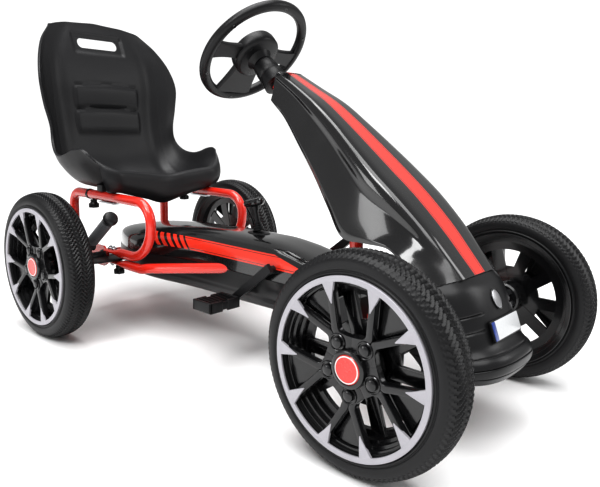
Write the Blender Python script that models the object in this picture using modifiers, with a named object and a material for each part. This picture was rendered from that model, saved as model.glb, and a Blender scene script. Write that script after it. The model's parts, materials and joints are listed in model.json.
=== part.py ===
"""Pedal go kart with a bucket seat, foam tyres, chain drive, drop-arm steering and a hand brake.

Metres, +Z up. The kart faces -Y, its right side is -X, and the ground is z = 0. Everything is laid
out from the point on the ground midway between the axles; the kart_root empty then moves the whole
kart so that the origin is under the middle of its length.
"""

import math

import bmesh
import bpy
from mathutils import Matrix, Vector

# Driving dimensions: wheels and axles
WHEELBASE = 0.8248
FRONT_TRACK = 0.4866            # between the middle planes of the front wheels
REAR_TRACK = 0.5468             # between the middle planes of the rear wheels
WHEEL_RADIUS = 0.159
TYRE_WIDTH = 0.062
RIM_RADIUS = 0.1269
RIM_FACE = 0.0347               # outer rim face from the wheel's middle plane
RIM_SEAT_RADIUS = 0.115         # drum that the tyre sits on
RIM_FLANGE = 0.006
HUB_RADIUS = 0.030
HUB_HALF = 0.030
WINDOW_COUNT = 5
AXLE_RADIUS = 0.008
CAP_RADIUS = 0.0205

# Driving dimensions: frame
TUBE_RADIUS = 0.011
HOOP_X = 0.133                  # seat hoops, side tubes and rear posts, each side of the middle
HOOP_TOP_Z = 0.301
HOOP_LOW_Z = 0.1765
HOOP_FRONT_Y = 0.225
HOOP_JOINT_Y = 0.4697           # where the hoop's sleeve meets the rear frame
HOOP_END_Y = 0.394
REAR_FRAME_Y = 0.541
SPINE_WIDTH = 0.040
SPINE_HEIGHT = 0.025
SPINE_Z = 0.1335
SIDE_TUBE_Z = 0.153
SIDE_TUBE_BEND_Y = 0.243
UPPER_KNOB_Y = 0.451
LOWER_KNOB_Y = 0.352
KNOB_RADIUS = 0.0125
KNOB_STUD_RADIUS = 0.003
SLIDE_ROD_RADIUS = 0.0085
SLIDE_ROD_LENGTH = 0.050
BRACKET_THICK = 0.005
BEAM_RADIUS = 0.014
LUG_GAP = 0.020                 # half the clear height between a pair of lugs
LUG_THICK = 0.006
CROSS_HALF = 0.058
CROSS_Y = 0.0465
CROSS_Z = 0.1825
POST_Y = -0.219
POST_RADIUS = 0.0125

# Driving dimensions: steering
STEER_CENTRE = Vector((0, 0.0523, 0.6141))
STEER_LEAN = math.radians(46.06)
STEER_WHEEL_RADIUS = 0.1214
STEER_GRIP_RADIUS = 0.0108
SHAFT_LENGTH = 0.574
SHAFT_RADIUS = 0.009
HOUSING_TOP = 0.095             # along the column, down from the steering wheel's middle
HOUSING_BOTTOM = 0.445
HOUSING_RADIUS = 0.0140
SHROUD_TOP = 0.036
SHROUD_BOTTOM = 0.088
SHROUD_RADIUS = 0.042
PITMAN_LENGTH = 0.055
KINGPIN_X = 0.185
KINGPIN_RADIUS = 0.006
KNUCKLE_ARM = 0.080
TIE_ROD_Z = 0.170

# Driving dimensions: drive
CRANK_Y = -0.078
CRANK_Z = 0.203
CRANK_LENGTH = 0.115
CRANK_ANGLE = math.radians(-39)
CRANK_ARM_X = 0.088
CRANK_SHELL_HALF = 0.024
CRANK_BUSH_RADIUS = 0.0130
CHAIN_X = 0.030
CRANK_SPROCKET_RADIUS = 0.030
REAR_SPROCKET_RADIUS = 0.0225
SPROCKET_THICK = 0.003
CHAIN_BAND = 0.0035
CHAIN_CLEAR = 0.0018
PEDAL_WIDTH = 0.075
PEDAL_DEPTH = 0.053
PEDAL_THICK = 0.021

# Driving dimensions: casing, fairing and bumper shells
SHELL_WALL = 0.0025
CASING_SEAM_Z = 0.180
FAIRING_WALL = 0.003
PAD_RAISE = 0.0030              # badge and number pads, proud of the bumper

# Driving dimensions: seat, brake and shift lever
SEAT_WALL = 0.006
SEAT_REAR = 0.6600              # rearmost point of the back
SLOT_HALF_WIDTH = 0.061
SCREW_RADIUS = 0.003
SEAT_SCREW_Y = (0.364, 0.404)
SEAT_FOOT_RISE = (0.031, 0.0155)
BRAKE_PLATE = 0.003
BRAKE_PIVOT = Vector((-0.198, 0.365, 0.200))
BRAKE_ANGLE = math.radians(38)
GRIP_LENGTH = 0.105
GRIP_RADIUS = 0.0125
DRUM_RADIUS = 0.022
SHIFT_PIVOT = Vector((0, 0.026, 0.232))
SHIFT_LEAN = math.radians(-15)
SHIFT_LENGTH = 0.083
SHIFT_PIN_RADIUS = 0.003

# Fits
GAP = 0.0003                    # between pieces that touch
RUN = 0.0004                    # between a pin or shaft and its bore
WHEEL_STEPS = 24

FRONT_Y = -WHEELBASE / 2
REAR_Y = WHEELBASE / 2
KART_SHIFT_Y = -(FRONT_Y - WHEEL_RADIUS + SEAT_REAR) / 2
SIDES = (("right", -1), ("left", 1))

COLOURS = {
    "red_paint": ((0.72, 0.035, 0.02), 0.25, 0.0),
    "gloss_black": ((0.010, 0.010, 0.011), 0.08, 0.0),
    "satin_black": ((0.045, 0.045, 0.048), 0.45, 0.0),
    "seat_plastic": ((0.038, 0.036, 0.040), 0.50, 0.0),
    "grip_grey": ((0.12, 0.12, 0.125), 0.60, 0.0),
    "foam_tyre": ((0.030, 0.030, 0.032), 0.80, 0.0),
    "rim_black": ((0.012, 0.012, 0.013), 0.20, 0.0),
    "cap_red": ((0.62, 0.02, 0.02), 0.25, 0.0),
    "zinc_steel": ((0.55, 0.55, 0.56), 0.30, 1.0),
    "dark_steel": ((0.10, 0.10, 0.11), 0.40, 1.0),
    "nylon": ((0.75, 0.74, 0.70), 0.45, 0.0),
    "plate_white": ((0.85, 0.86, 0.88), 0.35, 0.0),
}


# ---- Scene and placing helpers


def clear_scene():
    for obj in list(bpy.data.objects):
        bpy.data.objects.remove(obj, do_unlink=True)


def new_collection(name):
    made = bpy.data.collections.new(name)
    bpy.context.scene.collection.children.link(made)
    return made


def new_pivot(name, location, rotation=(0, 0, 0), parent=None):
    pivot = bpy.data.objects.new(name, None)
    pivot.location = location
    pivot.rotation_euler = rotation
    pivot.parent = parent
    KART.objects.link(pivot)
    return pivot


def material(name):
    found = bpy.data.materials.get(name)
    if found:
        return found
    colour, roughness, metallic = COLOURS[name]
    made = bpy.data.materials.new(name)
    made.use_nodes = True
    shader = made.node_tree.nodes["Principled BSDF"]
    shader.inputs["Base Color"].default_value = (*colour, 1)
    shader.inputs["Roughness"].default_value = roughness
    shader.inputs["Metallic"].default_value = metallic
    made.diffuse_color = (*colour, 1)
    return made


def add_object(name, mesh, finish, pivot):
    obj = bpy.data.objects.new(name, mesh)
    obj.parent = pivot
    if finish is None:
        obj.hide_render = True
        obj.display_type = "WIRE"
        CUTTERS.objects.link(obj)
    else:
        mesh.materials.append(material(finish))
        KART.objects.link(obj)
    return obj


def mesh_object(name, bm, finish, pivot):
    mesh = bpy.data.meshes.new(name)
    bm.to_mesh(mesh)
    bm.free()
    mesh.shade_smooth()
    mesh.set_sharp_from_angle(angle=math.radians(35))
    return add_object(name, mesh, finish, pivot)


def boolean(obj, other, operation):
    modifier = obj.modifiers.new(f"{operation.lower()} {other.name}", "BOOLEAN")
    modifier.operation = operation
    modifier.object = other
    modifier.solver = "EXACT"


def cut(obj, *cutters):
    for cutter in cutters:
        boolean(obj, cutter, "DIFFERENCE")
    return obj


def weld(obj, *others):
    for other in others:
        boolean(obj, other, "UNION")
    return obj


# ---- Shapes


def block(name, low, high, finish=None, pivot=None, bevel=0.0):
    """A box between two corners."""
    bm = bmesh.new()
    bmesh.ops.create_cube(bm, size=1)
    low, high = Vector(low), Vector(high)
    bmesh.ops.scale(bm, vec=high - low, verts=bm.verts)
    bmesh.ops.translate(bm, vec=(low + high) / 2, verts=bm.verts)
    if bevel:
        bmesh.ops.bevel(bm, geom=bm.edges[:], offset=bevel, segments=2, affect="EDGES", profile=0.5)
    return mesh_object(name, bm, finish, pivot)


def rod(name, start, end, radius, finish=None, pivot=None, sides=16, end_radius=None):
    """A round bar or cone from one point to another."""
    start, end = Vector(start), Vector(end)
    bm = bmesh.new()
    bmesh.ops.create_cone(
        bm,
        cap_ends=True,
        segments=sides,
        radius1=radius,
        radius2=radius if end_radius is None else end_radius,
        depth=(end - start).length,
    )
    turn = (end - start).to_track_quat("Z", "Y").to_matrix().to_4x4()
    bmesh.ops.transform(bm, matrix=Matrix.Translation((start + end) / 2) @ turn, verts=bm.verts)
    return mesh_object(name, bm, finish, pivot)


def turned(name, profile, axis, location, finish=None, pivot=None, steps=WHEEL_STEPS, ring=True):
    """A turned piece: (radius, height) points run down its outer side, top to bottom."""
    bm = bmesh.new()
    points = [bm.verts.new((radius, 0, height)) for radius, height in profile]
    pairs = list(zip(points, points[1:]))
    if ring:
        pairs.append((points[-1], points[0]))
    for first, second in pairs:
        bm.edges.new((first, second))
    mesh = bpy.data.meshes.new(name)
    bm.to_mesh(mesh)
    bm.free()
    obj = add_object(name, mesh, finish, pivot)
    obj.location = location
    obj.rotation_euler = Vector(axis).to_track_quat("Z", "Y").to_euler()
    screw = obj.modifiers.new("Screw", "SCREW")
    screw.steps = screw.render_steps = steps
    screw.use_merge_vertices = True
    screw.merge_threshold = 0.00005
    screw.use_smooth_shade = True
    return obj


def rounded_path(corners, radii, arc_steps=4):
    """Points along straight runs whose corners are filleted with the given radii."""
    corners = [Vector(corner) for corner in corners]
    path = [corners[0]]
    for before, corner, after, radius in zip(corners, corners[1:], corners[2:], radii):
        into, out = (before - corner).normalized(), (after - corner).normalized()
        half = into.angle(out) / 2
        centre = corner + (into + out).normalized() * radius / math.sin(half)
        spread = corner + into * radius / math.tan(half) - centre
        turn = math.pi - 2 * half
        axis = into.cross(out)
        for step in range(arc_steps + 1):
            path.append(centre + Matrix.Rotation(-turn * step / arc_steps, 3, axis) @ spread)
    path.append(corners[-1])
    return path


def tube(name, path, radius, finish=None, pivot=None, resolution=3):
    """A bent round tube along the path, as a mesh with its caps welded on."""
    curve = bpy.data.curves.new(name, "CURVE")
    curve.dimensions = "3D"
    curve.bevel_depth = radius
    curve.bevel_resolution = resolution
    curve.use_fill_caps = True
    spline = curve.splines.new("POLY")
    spline.points.add(len(path) - 1)
    for point, place in zip(spline.points, path):
        point.co = (*place, 1)
    guide = bpy.data.objects.new(name + "_guide", curve)
    CUTTERS.objects.link(guide)
    graph = bpy.context.evaluated_depsgraph_get()
    mesh = bpy.data.meshes.new_from_object(guide.evaluated_get(graph))
    bpy.data.objects.remove(guide)
    bm = bmesh.new()
    bm.from_mesh(mesh)
    bmesh.ops.remove_doubles(bm, verts=bm.verts, dist=0.00001)
    bpy.data.meshes.remove(mesh)
    return mesh_object(name, bm, finish, pivot)


def plate(name, outline, normal, offset, thickness, finish=None, pivot=None):
    """A flat plate: a 2D outline, seen along X, Y or Z, and extruded from offset by thickness."""
    lift = {
        "X": lambda a, b, h: (h, a, b),
        "Y": lambda a, b, h: (a, h, b),
        "Z": lambda a, b, h: (a, b, h),
    }[normal]
    bm = bmesh.new()
    base = bm.faces.new([bm.verts.new(lift(a, b, offset)) for a, b in outline])
    grown = bmesh.ops.extrude_face_region(bm, geom=[base])
    moved = [item for item in grown["geom"] if isinstance(item, bmesh.types.BMVert)]
    bmesh.ops.translate(bm, vec=Vector(lift(0, 0, thickness)), verts=moved)
    bmesh.ops.recalc_face_normals(bm, faces=bm.faces[:])
    return mesh_object(name, bm, finish, pivot)


def shell(name, rows, wall, finish, pivot):
    """A wall over a grid of rows of points. The rows' given face is the outer one."""
    bm = bmesh.new()
    grid = [[bm.verts.new(point) for point in row] for row in rows]
    for upper, lower in zip(grid, grid[1:]):
        for column in range(len(upper) - 1):
            bm.faces.new((upper[column], lower[column], lower[column + 1], upper[column + 1]))
    bmesh.ops.remove_doubles(bm, verts=bm.verts, dist=0.00001)
    bmesh.ops.dissolve_degenerate(bm, dist=0.000001, edges=bm.edges[:])
    obj = mesh_object(name, bm, finish, pivot)
    solid = obj.modifiers.new("Solidify", "SOLIDIFY")
    solid.thickness = wall
    solid.offset = -1
    solid.use_even_offset = True
    return obj


def loft(name, loops, finish, pivot):
    """A closed solid through loops of points, with a flat face at each end."""
    bm = bmesh.new()
    rings = [[bm.verts.new(point) for point in loop] for loop in loops]
    for first, second in zip(rings, rings[1:]):
        for here in range(len(first)):
            after = (here + 1) % len(first)
            bm.faces.new((first[here], first[after], second[after], second[here]))
    bm.faces.new(rings[0])
    bm.faces.new(rings[-1])
    bmesh.ops.recalc_face_normals(bm, faces=bm.faces[:])
    return mesh_object(name, bm, finish, pivot)


def both_sides(half):
    """A full row of points from a half row that starts on the middle plane, -X side first."""
    return [(-x, y, z) for x, y, z in reversed(half[1:])] + list(half)


# ---- Wheels


def tyre_profile():
    half, seat = TYRE_WIDTH / 2, RIM_SEAT_RADIUS + GAP * 2
    flank = RIM_FACE - RIM_FLANGE - GAP * 2
    top = [
        (seat, flank),
        (RIM_RADIUS + GAP, flank),
        (RIM_RADIUS + 0.0012, half - 0.0005),
        (WHEEL_RADIUS - 0.011, half - 0.001),
        (WHEEL_RADIUS, half - 0.017),
    ]
    return top + [(radius, -height) for radius, height in reversed(top)]


def rim_profile():
    bore, inner = AXLE_RADIUS + RUN, RIM_FACE - RIM_FLANGE
    return [
        (bore, HUB_HALF),
        (HUB_RADIUS, HUB_HALF),
        (HUB_RADIUS, 0.020),
        (RIM_SEAT_RADIUS - 0.009, 0.020),
        (RIM_SEAT_RADIUS - 0.001, RIM_FACE),
        (RIM_RADIUS, RIM_FACE),
        (RIM_RADIUS, inner),
        (RIM_SEAT_RADIUS, inner),
        (RIM_SEAT_RADIUS, -inner),
        (RIM_RADIUS, -inner),
        (RIM_SEAT_RADIUS - 0.004, -RIM_FACE + 0.002),
        (RIM_SEAT_RADIUS - 0.006, 0.014),
        (HUB_RADIUS - 0.004, 0.014),
        (HUB_RADIUS - 0.004, -HUB_HALF),
        (bore, -HUB_HALF),
    ]


def window_cutter(name, pivot, location, outward):
    """Five wedge shaped windows between the spokes, as one cutter."""
    inside, outside = HUB_RADIUS + 0.014, RIM_SEAT_RADIUS - 0.013
    half_turn = math.radians(20)
    bm = bmesh.new()
    for window in range(WINDOW_COUNT):
        middle = math.tau * (window + 0.5) / WINDOW_COUNT + math.pi / 2
        corners = [
            (inside, middle - half_turn * 0.7),
            (outside, middle - half_turn),
            (outside, middle + half_turn),
            (inside, middle + half_turn * 0.7),
        ]
        flat = [(r * math.cos(turn), r * math.sin(turn), 0.008) for r, turn in corners]
        base = bm.faces.new([bm.verts.new(point) for point in flat])
        grown = bmesh.ops.extrude_face_region(bm, geom=[base])
        moved = [item for item in grown["geom"] if isinstance(item, bmesh.types.BMVert)]
        bmesh.ops.translate(bm, vec=(0, 0, 0.020), verts=moved)
    bmesh.ops.recalc_face_normals(bm, faces=bm.faces[:])
    cutter = mesh_object(name, bm, None, pivot)
    cutter.location = location
    cutter.rotation_euler = Vector(outward).to_track_quat("Z", "Y").to_euler()
    return cutter


def make_wheel(end, side, sign, track, axle):
    """Tyre, rim and cap, turned about the wheel's own axis."""
    outward = (sign, 0, 0)
    middle = Vector(axle) + Vector((sign * track / 2, 0, 0))
    pivot = new_pivot(f"{end}_wheel_pivot_{side}", middle, parent=ROOT)
    label = f"{end}_{{}}_{side}"
    turned(label.format("tyre"), tyre_profile(), outward, (0, 0, 0), "foam_tyre", pivot)
    rim = turned(label.format("rim"), rim_profile(), outward, (0, 0, 0), "rim_black", pivot)
    cut(rim, window_cutter(label.format("window"), pivot, (0, 0, 0), outward))
    crown = HUB_HALF + GAP
    cap = [
        (0, RIM_FACE),
        (CAP_RADIUS * 0.75, RIM_FACE - 0.0004),
        (CAP_RADIUS, crown + 0.0015),
        (CAP_RADIUS, crown),
        (0, crown),
    ]
    turned(label.format("cap"), cap, outward, (0, 0, 0), "cap_red", pivot, steps=16, ring=False)


# ---- Frame


def make_main_frame():
    """Spine tube with what is welded to it: cross tube, crank shell, shift cheeks and column post."""
    top, foot = SPINE_Z + SPINE_HEIGHT / 2, SPINE_Z
    half = SPINE_WIDTH / 2
    front, rear = FRONT_Y + BEAM_RADIUS + GAP, REAR_FRAME_Y - TUBE_RADIUS - GAP
    frame = block(
        "main_frame", (-half, front, top - SPINE_HEIGHT), (half, rear, top), "dark_steel", ROOT
    )
    across = rod(
        "cross_tube", (-CROSS_HALF, CROSS_Y, CROSS_Z), (CROSS_HALF, CROSS_Y, CROSS_Z), 0.010,
        pivot=ROOT, sides=12,
    )
    cross_post = block(
        "cross_post", (-0.012, CROSS_Y - 0.007, foot), (0.012, CROSS_Y + 0.007, CROSS_Z), pivot=ROOT
    )
    shell_half = CRANK_SHELL_HALF
    crank_shell = rod(
        "crank_shell", (-shell_half, CRANK_Y, CRANK_Z), (shell_half, CRANK_Y, CRANK_Z), 0.0165,
        pivot=ROOT,
    )
    crank_post = block(
        "crank_post", (-0.012, CRANK_Y - 0.010, foot), (0.012, CRANK_Y + 0.010, CRANK_Z - 0.012),
        pivot=ROOT,
    )
    y, z = SHIFT_PIVOT.y, SHIFT_PIVOT.z
    cheeks = [
        block(f"shift_cheek_{side}", (sign * 0.0075 - 0.0015, y - 0.009, foot + sign * 0.0001),
              (sign * 0.0075 + 0.0015, y + 0.009, z + 0.009), pivot=ROOT)
        for side, sign in SIDES
    ]
    slope = math.tan(STEER_LEAN)
    post_top = STEER_CENTRE.z - (STEER_CENTRE.y - POST_Y) / slope
    post = rod("column_post", (0, POST_Y, foot), (0, POST_Y, post_top), POST_RADIUS, pivot=ROOT)
    weld(frame, across, cross_post, crank_shell, crank_post, post, *cheeks)
    bore = CRANK_BUSH_RADIUS + GAP
    reach = shell_half + 0.01
    crank_bore = rod("crank_bore", (-reach, CRANK_Y, CRANK_Z), (reach, CRANK_Y, CRANK_Z), bore, pivot=ROOT)
    pin_bore = rod(
        "shift_bore", (-0.02, y, z), (0.02, y, z), SHIFT_PIN_RADIUS + RUN, pivot=ROOT, sides=12
    )
    housing_clear = rod(
        "housing_clear", (0, 0, -HOUSING_BOTTOM - 0.05), (0, 0, -0.05), HOUSING_RADIUS + GAP,
        pivot=COLUMN, sides=20,
    )
    cut(frame, crank_bore, pin_bore, housing_clear)


def make_rear_frame():
    """One bent tube: across behind the casing, up each side and forward into the seat hoops."""
    low_z = SPINE_Z
    start = HOOP_JOINT_Y + GAP
    corners = [
        (-HOOP_X, start, HOOP_TOP_Z),
        (-HOOP_X, REAR_FRAME_Y, HOOP_TOP_Z),
        (-HOOP_X, REAR_FRAME_Y, low_z),
        (HOOP_X, REAR_FRAME_Y, low_z),
        (HOOP_X, REAR_FRAME_Y, HOOP_TOP_Z),
        (HOOP_X, start, HOOP_TOP_Z),
    ]
    path = rounded_path(corners, (0.030, 0.035, 0.035, 0.030))
    frame = tube("rear_frame", path, TUBE_RADIUS, "red_paint", ROOT)
    for side, sign in SIDES:
        end = (sign * HOOP_X, start - SLIDE_ROD_LENGTH, HOOP_TOP_Z)
        inside = (sign * HOOP_X, start + 0.012, HOOP_TOP_Z)
        weld(frame, rod(f"slide_rod_{side}", end, inside, SLIDE_ROD_RADIUS, pivot=ROOT))


def make_axle_bracket(side, sign):
    """Bearing plate between the side tube's end and the rear frame's post, with its bush."""
    top, bottom = WHEEL_RADIUS + 0.024, WHEEL_RADIUS - 0.024
    front, rear = HOOP_END_Y + 0.002, REAR_FRAME_Y - TUBE_RADIUS - GAP
    outline = [
        (front, bottom + 0.010),
        (REAR_Y, bottom),
        (rear, bottom),
        (rear, top),
        (REAR_Y, top),
        (front, top - 0.014),
    ]
    inner = sign * HOOP_X - BRACKET_THICK / 2
    bracket = plate(
        f"axle_bracket_{side}", outline, "X", inner, BRACKET_THICK, "red_paint", ROOT
    )
    bush = AXLE_RADIUS + 0.0045
    reach = (sign * (HOOP_X - 0.02), REAR_Y, WHEEL_RADIUS)
    past = (sign * (HOOP_X + 0.02), REAR_Y, WHEEL_RADIUS)
    cut(bracket, rod(f"bush_hole_{side}", reach, past, bush + GAP, pivot=ROOT, sides=20))
    edge = BRACKET_THICK / 2 + GAP
    profile = [
        (AXLE_RADIUS + RUN, edge + 0.0025),
        (bush + 0.003, edge + 0.0025),
        (bush + 0.003, edge),
        (bush, edge),
        (bush, -edge - 0.002),
        (AXLE_RADIUS + RUN, -edge - 0.002),
    ]
    centre = (sign * HOOP_X, REAR_Y, WHEEL_RADIUS)
    turned(f"axle_bush_{side}", profile, (sign, 0, 0), centre, "nylon", ROOT, steps=14)


def make_side_tube(side, sign):
    """Runs forward from the bracket under the hoop, then inward through the casing."""
    flat_end = HOOP_END_Y + 0.0017
    x = sign * HOOP_X
    level = [(x, flat_end - 0.057, SIDE_TUBE_Z), (x, SIDE_TUBE_BEND_Y + 0.019, SIDE_TUBE_Z)]
    path = rounded_path([*level, *side_tube_line(sign)], (0.050, 0.045))
    side_tube = tube(f"side_tube_{side}", path, TUBE_RADIUS, "red_paint", ROOT)
    half = TUBE_RADIUS + 0.0015
    top = SIDE_TUBE_Z + 0.007
    low, high = (x - half, flat_end - 0.064, top - 0.011), (x + half, flat_end, top)
    weld(side_tube, block(f"side_flat_{side}", low, high, pivot=ROOT))
    edge = CROSS_HALF + GAP
    trim = block(f"side_trim_{side}", (-edge, -0.1, 0.1), (edge, 0.15, 0.25), pivot=ROOT)
    stud = rod(
        f"side_stud_hole_{side}", (x, LOWER_KNOB_Y, 0.1), (x, LOWER_KNOB_Y, 0.2), KNOB_STUD_RADIUS + GAP,
        pivot=ROOT, sides=12,
    )
    cut(side_tube, trim, stud)


def make_front_axle():
    """Cross beam with a pair of lugs at each end that hold the kingpins."""
    radius, lug = BEAM_RADIUS, LUG_THICK
    reach = KINGPIN_X - 0.018
    centre = Vector((0, FRONT_Y, WHEEL_RADIUS))
    beam = rod(
        "front_axle_beam", centre - Vector((reach, 0, 0)), centre + Vector((reach, 0, 0)), radius,
        "satin_black", ROOT,
    )
    for side, sign in SIDES:
        start, end = sorted((sign * (reach - 0.012), sign * (KINGPIN_X + 0.013)))
        for level, shift in (("low", -LUG_GAP - lug), ("high", LUG_GAP)):
            low = (start, FRONT_Y - 0.013, WHEEL_RADIUS + shift)
            high = (end, FRONT_Y + 0.013, WHEEL_RADIUS + shift + lug)
            weld(beam, block(f"lug_{level}_{side}", low, high, pivot=ROOT))
        start, end = sorted((sign * (reach - 0.012), sign * reach))
        low = (start, FRONT_Y - 0.013, WHEEL_RADIUS - LUG_GAP - 0.001)
        high = (end, FRONT_Y + 0.013, WHEEL_RADIUS + LUG_GAP + 0.001)
        weld(beam, block(f"lug_web_{side}", low, high, pivot=ROOT))
        foot = (sign * KINGPIN_X, FRONT_Y, WHEEL_RADIUS - 0.05)
        head = (sign * KINGPIN_X, FRONT_Y, WHEEL_RADIUS + 0.05)
        cut(beam, rod(f"pin_hole_{side}", foot, head, KINGPIN_RADIUS + GAP, pivot=ROOT))


def make_kingpin(side, sign):
    top = LUG_GAP + LUG_THICK + GAP
    profile = [
        (0, top + 0.005),
        (0.0095, top + 0.005),
        (0.0095, top),
        (KINGPIN_RADIUS, top),
        (KINGPIN_RADIUS, -top - 0.004),
        (0, -top - 0.004),
    ]
    centre = (sign * KINGPIN_X, FRONT_Y, WHEEL_RADIUS)
    turned(
        f"kingpin_{side}", profile, (0, 0, 1), centre, "zinc_steel", ROOT, steps=16, ring=False
    )


# ---- Steering


def make_knuckle(side, sign, pivot):
    """Sleeve on the kingpin, stub axle outward and steering arm to the rear. The pivot is its kingpin."""
    half = LUG_GAP - RUN
    knuckle = rod(
        f"knuckle_{side}", (0, 0, -half), (0, 0, half), 0.0110, "satin_black", pivot, sides=20
    )
    hub_end = FRONT_TRACK / 2 - HUB_HALF - KINGPIN_X - RUN
    stub_end = FRONT_TRACK / 2 + 0.027 - KINGPIN_X
    shoulder = rod(f"shoulder_{side}", (0, 0, 0), (sign * hub_end, 0, 0), 0.0125, pivot=pivot)
    stub = rod(f"stub_{side}", (0, 0, 0), (sign * stub_end, 0, 0), AXLE_RADIUS, pivot=pivot)
    rise = TIE_ROD_Z - WHEEL_RADIUS - 0.0045
    arm = plate(
        f"arm_{side}",
        [(-0.008, 0.004), (0.008, 0.004), (0.007, KNUCKLE_ARM + 0.008), (-0.007, KNUCKLE_ARM + 0.008)],
        "Z", rise - 0.006, 0.006, pivot=pivot,
    )
    hole = rod(f"knuckle_bore_{side}", (0, 0, -0.05), (0, 0, 0.05), KINGPIN_RADIUS + RUN, pivot=pivot)
    weld(knuckle, shoulder, stub, arm)
    cut(knuckle, hole)
    end = (0, KNUCKLE_ARM, rise)
    bolt = rod(
        f"tie_bolt_{side}", (end[0], end[1], rise - 0.012), (end[0], end[1], rise + 0.013), 0.0035,
        pivot=pivot, sides=12,
    )
    weld(knuckle, bolt)


def make_tie_rod(side, sign, pivot):
    """Rod from the knuckle arm's bolt to the foot of the steering shaft. The pivot is that bolt."""
    inner = -sign * (KINGPIN_X - 0.0105)
    base = 0.0045
    eye = rod(f"tie_rod_{side}", (0, 0, -0.0040), (0, 0, 0.0040), 0.0085, "zinc_steel", pivot)
    bar = rod(f"tie_bar_{side}", (-sign * 0.006, 0, 0), (inner, 0, base), 0.0038, pivot=pivot, sides=12)
    weld(eye, bar)
    hole = rod(f"tie_eye_{side}", (0, 0, -0.01), (0, 0, 0.01), 0.0035 + RUN, pivot=pivot, sides=12)
    cut(eye, hole)


def make_steering_wheel():
    """Rim, two side spokes, a broad lower spoke and a boss, moulded in one."""
    bm = bmesh.new()
    ring_radius = STEER_WHEEL_RADIUS - STEER_GRIP_RADIUS
    turns, facets = 32, 10
    grid = []
    for turn in range(turns):
        a = math.tau * turn / turns
        row = []
        for facet in range(facets):
            b = math.tau * facet / facets
            reach = ring_radius + STEER_GRIP_RADIUS * math.cos(b)
            height = STEER_GRIP_RADIUS * math.sin(b)
            row.append(bm.verts.new((reach * math.cos(a), reach * math.sin(a), height)))
        grid.append(row)
    for turn in range(turns):
        for facet in range(facets):
            here, there = grid[turn], grid[(turn + 1) % turns]
            after = (facet + 1) % facets
            bm.faces.new((here[facet], there[facet], there[after], here[after]))
    wheel = mesh_object("steering_wheel", bm, "satin_black", STEERING)
    boss = rod("wheel_boss", (0, 0, -0.030), (0, 0, 0.012), 0.034, pivot=STEERING, sides=20, end_radius=0.027)
    side_spokes = plate(
        "side_spokes",
        [(-0.106, -0.022), (-0.02, -0.012), (0.02, -0.012), (0.106, -0.022),
         (0.106, 0.014), (0.02, 0.020), (-0.02, 0.020), (-0.106, 0.014)],
        "Z", -0.009, 0.012, pivot=STEERING,
    )
    lower_spoke = plate(
        "lower_spoke", [(-0.016, 0), (0.016, 0), (0.036, 0.100), (-0.036, 0.100)],
        "Z", -0.0085, 0.011, pivot=STEERING,
    )
    weld(wheel, boss, side_spokes, lower_spoke)
    socket = rod("shaft_socket", (0, 0, -0.05), (0, 0, -0.012), SHAFT_RADIUS + GAP, pivot=STEERING)
    cut(wheel, socket)


def make_steering_shaft():
    """Shaft down to the foot, with the drop arm that moves the tie rods."""
    shaft = rod(
        "steering_shaft", (0, 0, -SHAFT_LENGTH), (0, 0, -0.012 - GAP), SHAFT_RADIUS, "zinc_steel",
        STEERING,
    )
    arm = plate(
        "drop_arm", [(-0.014, -0.012), (0.014, -0.012), (0.008, PITMAN_LENGTH), (-0.008, PITMAN_LENGTH)],
        "Z", -SHAFT_LENGTH, 0.006, pivot=STEERING,
    )
    weld(shaft, arm)


def make_column():
    """Housing tube, its two bushes and the shroud at its head."""
    inner = SHAFT_RADIUS + 0.0030
    housing = [
        (inner, -HOUSING_TOP),
        (HOUSING_RADIUS, -HOUSING_TOP),
        (HOUSING_RADIUS, -HOUSING_BOTTOM),
        (inner, -HOUSING_BOTTOM),
    ]
    turned("column_housing", housing, (0, 0, 1), (0, 0, 0), "red_paint", COLUMN, steps=20)
    bore, grip = SHAFT_RADIUS + RUN, inner - GAP
    for label, end, way in (("upper", -HOUSING_TOP, 1), ("lower", -HOUSING_BOTTOM, -1)):
        edge = end + way * GAP
        bush = [
            (bore, edge + way * 0.003),
            (HOUSING_RADIUS, edge + way * 0.003),
            (HOUSING_RADIUS, edge),
            (grip, edge),
            (grip, edge - way * 0.018),
            (bore, edge - way * 0.018),
        ]
        if way < 0:
            bush.reverse()
        turned(f"column_bush_{label}", bush, (0, 0, 1), (0, 0, 0), "nylon", COLUMN, steps=14)
    bore, head = HOUSING_RADIUS + GAP, -SHROUD_TOP
    shroud = [
        (HOUSING_RADIUS + 0.002, head),
        (0.032, head),
        (SHROUD_RADIUS, head - 0.014),
        (SHROUD_RADIUS, -SHROUD_BOTTOM),
        (bore, -SHROUD_BOTTOM - 0.004),
        (bore, -HOUSING_TOP - GAP * 4),
        (SHROUD_RADIUS - 0.003, -SHROUD_BOTTOM + 0.003),
        (SHROUD_RADIUS - 0.003, head - 0.016),
    ]
    turned("column_shroud", shroud, (0, 0, 1), (0, 0, 0), "satin_black", COLUMN, steps=18)


# ---- Drive


def gear_outline(radius, tip, teeth, centre):
    """Trapezoid teeth round a circle, as (y, z) points."""
    outline = []
    pitch = math.tau / teeth
    for tooth in range(teeth):
        for reach, share in ((radius, 0.0), (radius, 0.22), (tip, 0.40), (tip, 0.82)):
            turn = (tooth + share) * pitch
            outline.append((centre[0] + reach * math.cos(turn), centre[1] + reach * math.sin(turn)))
    return outline


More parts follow.
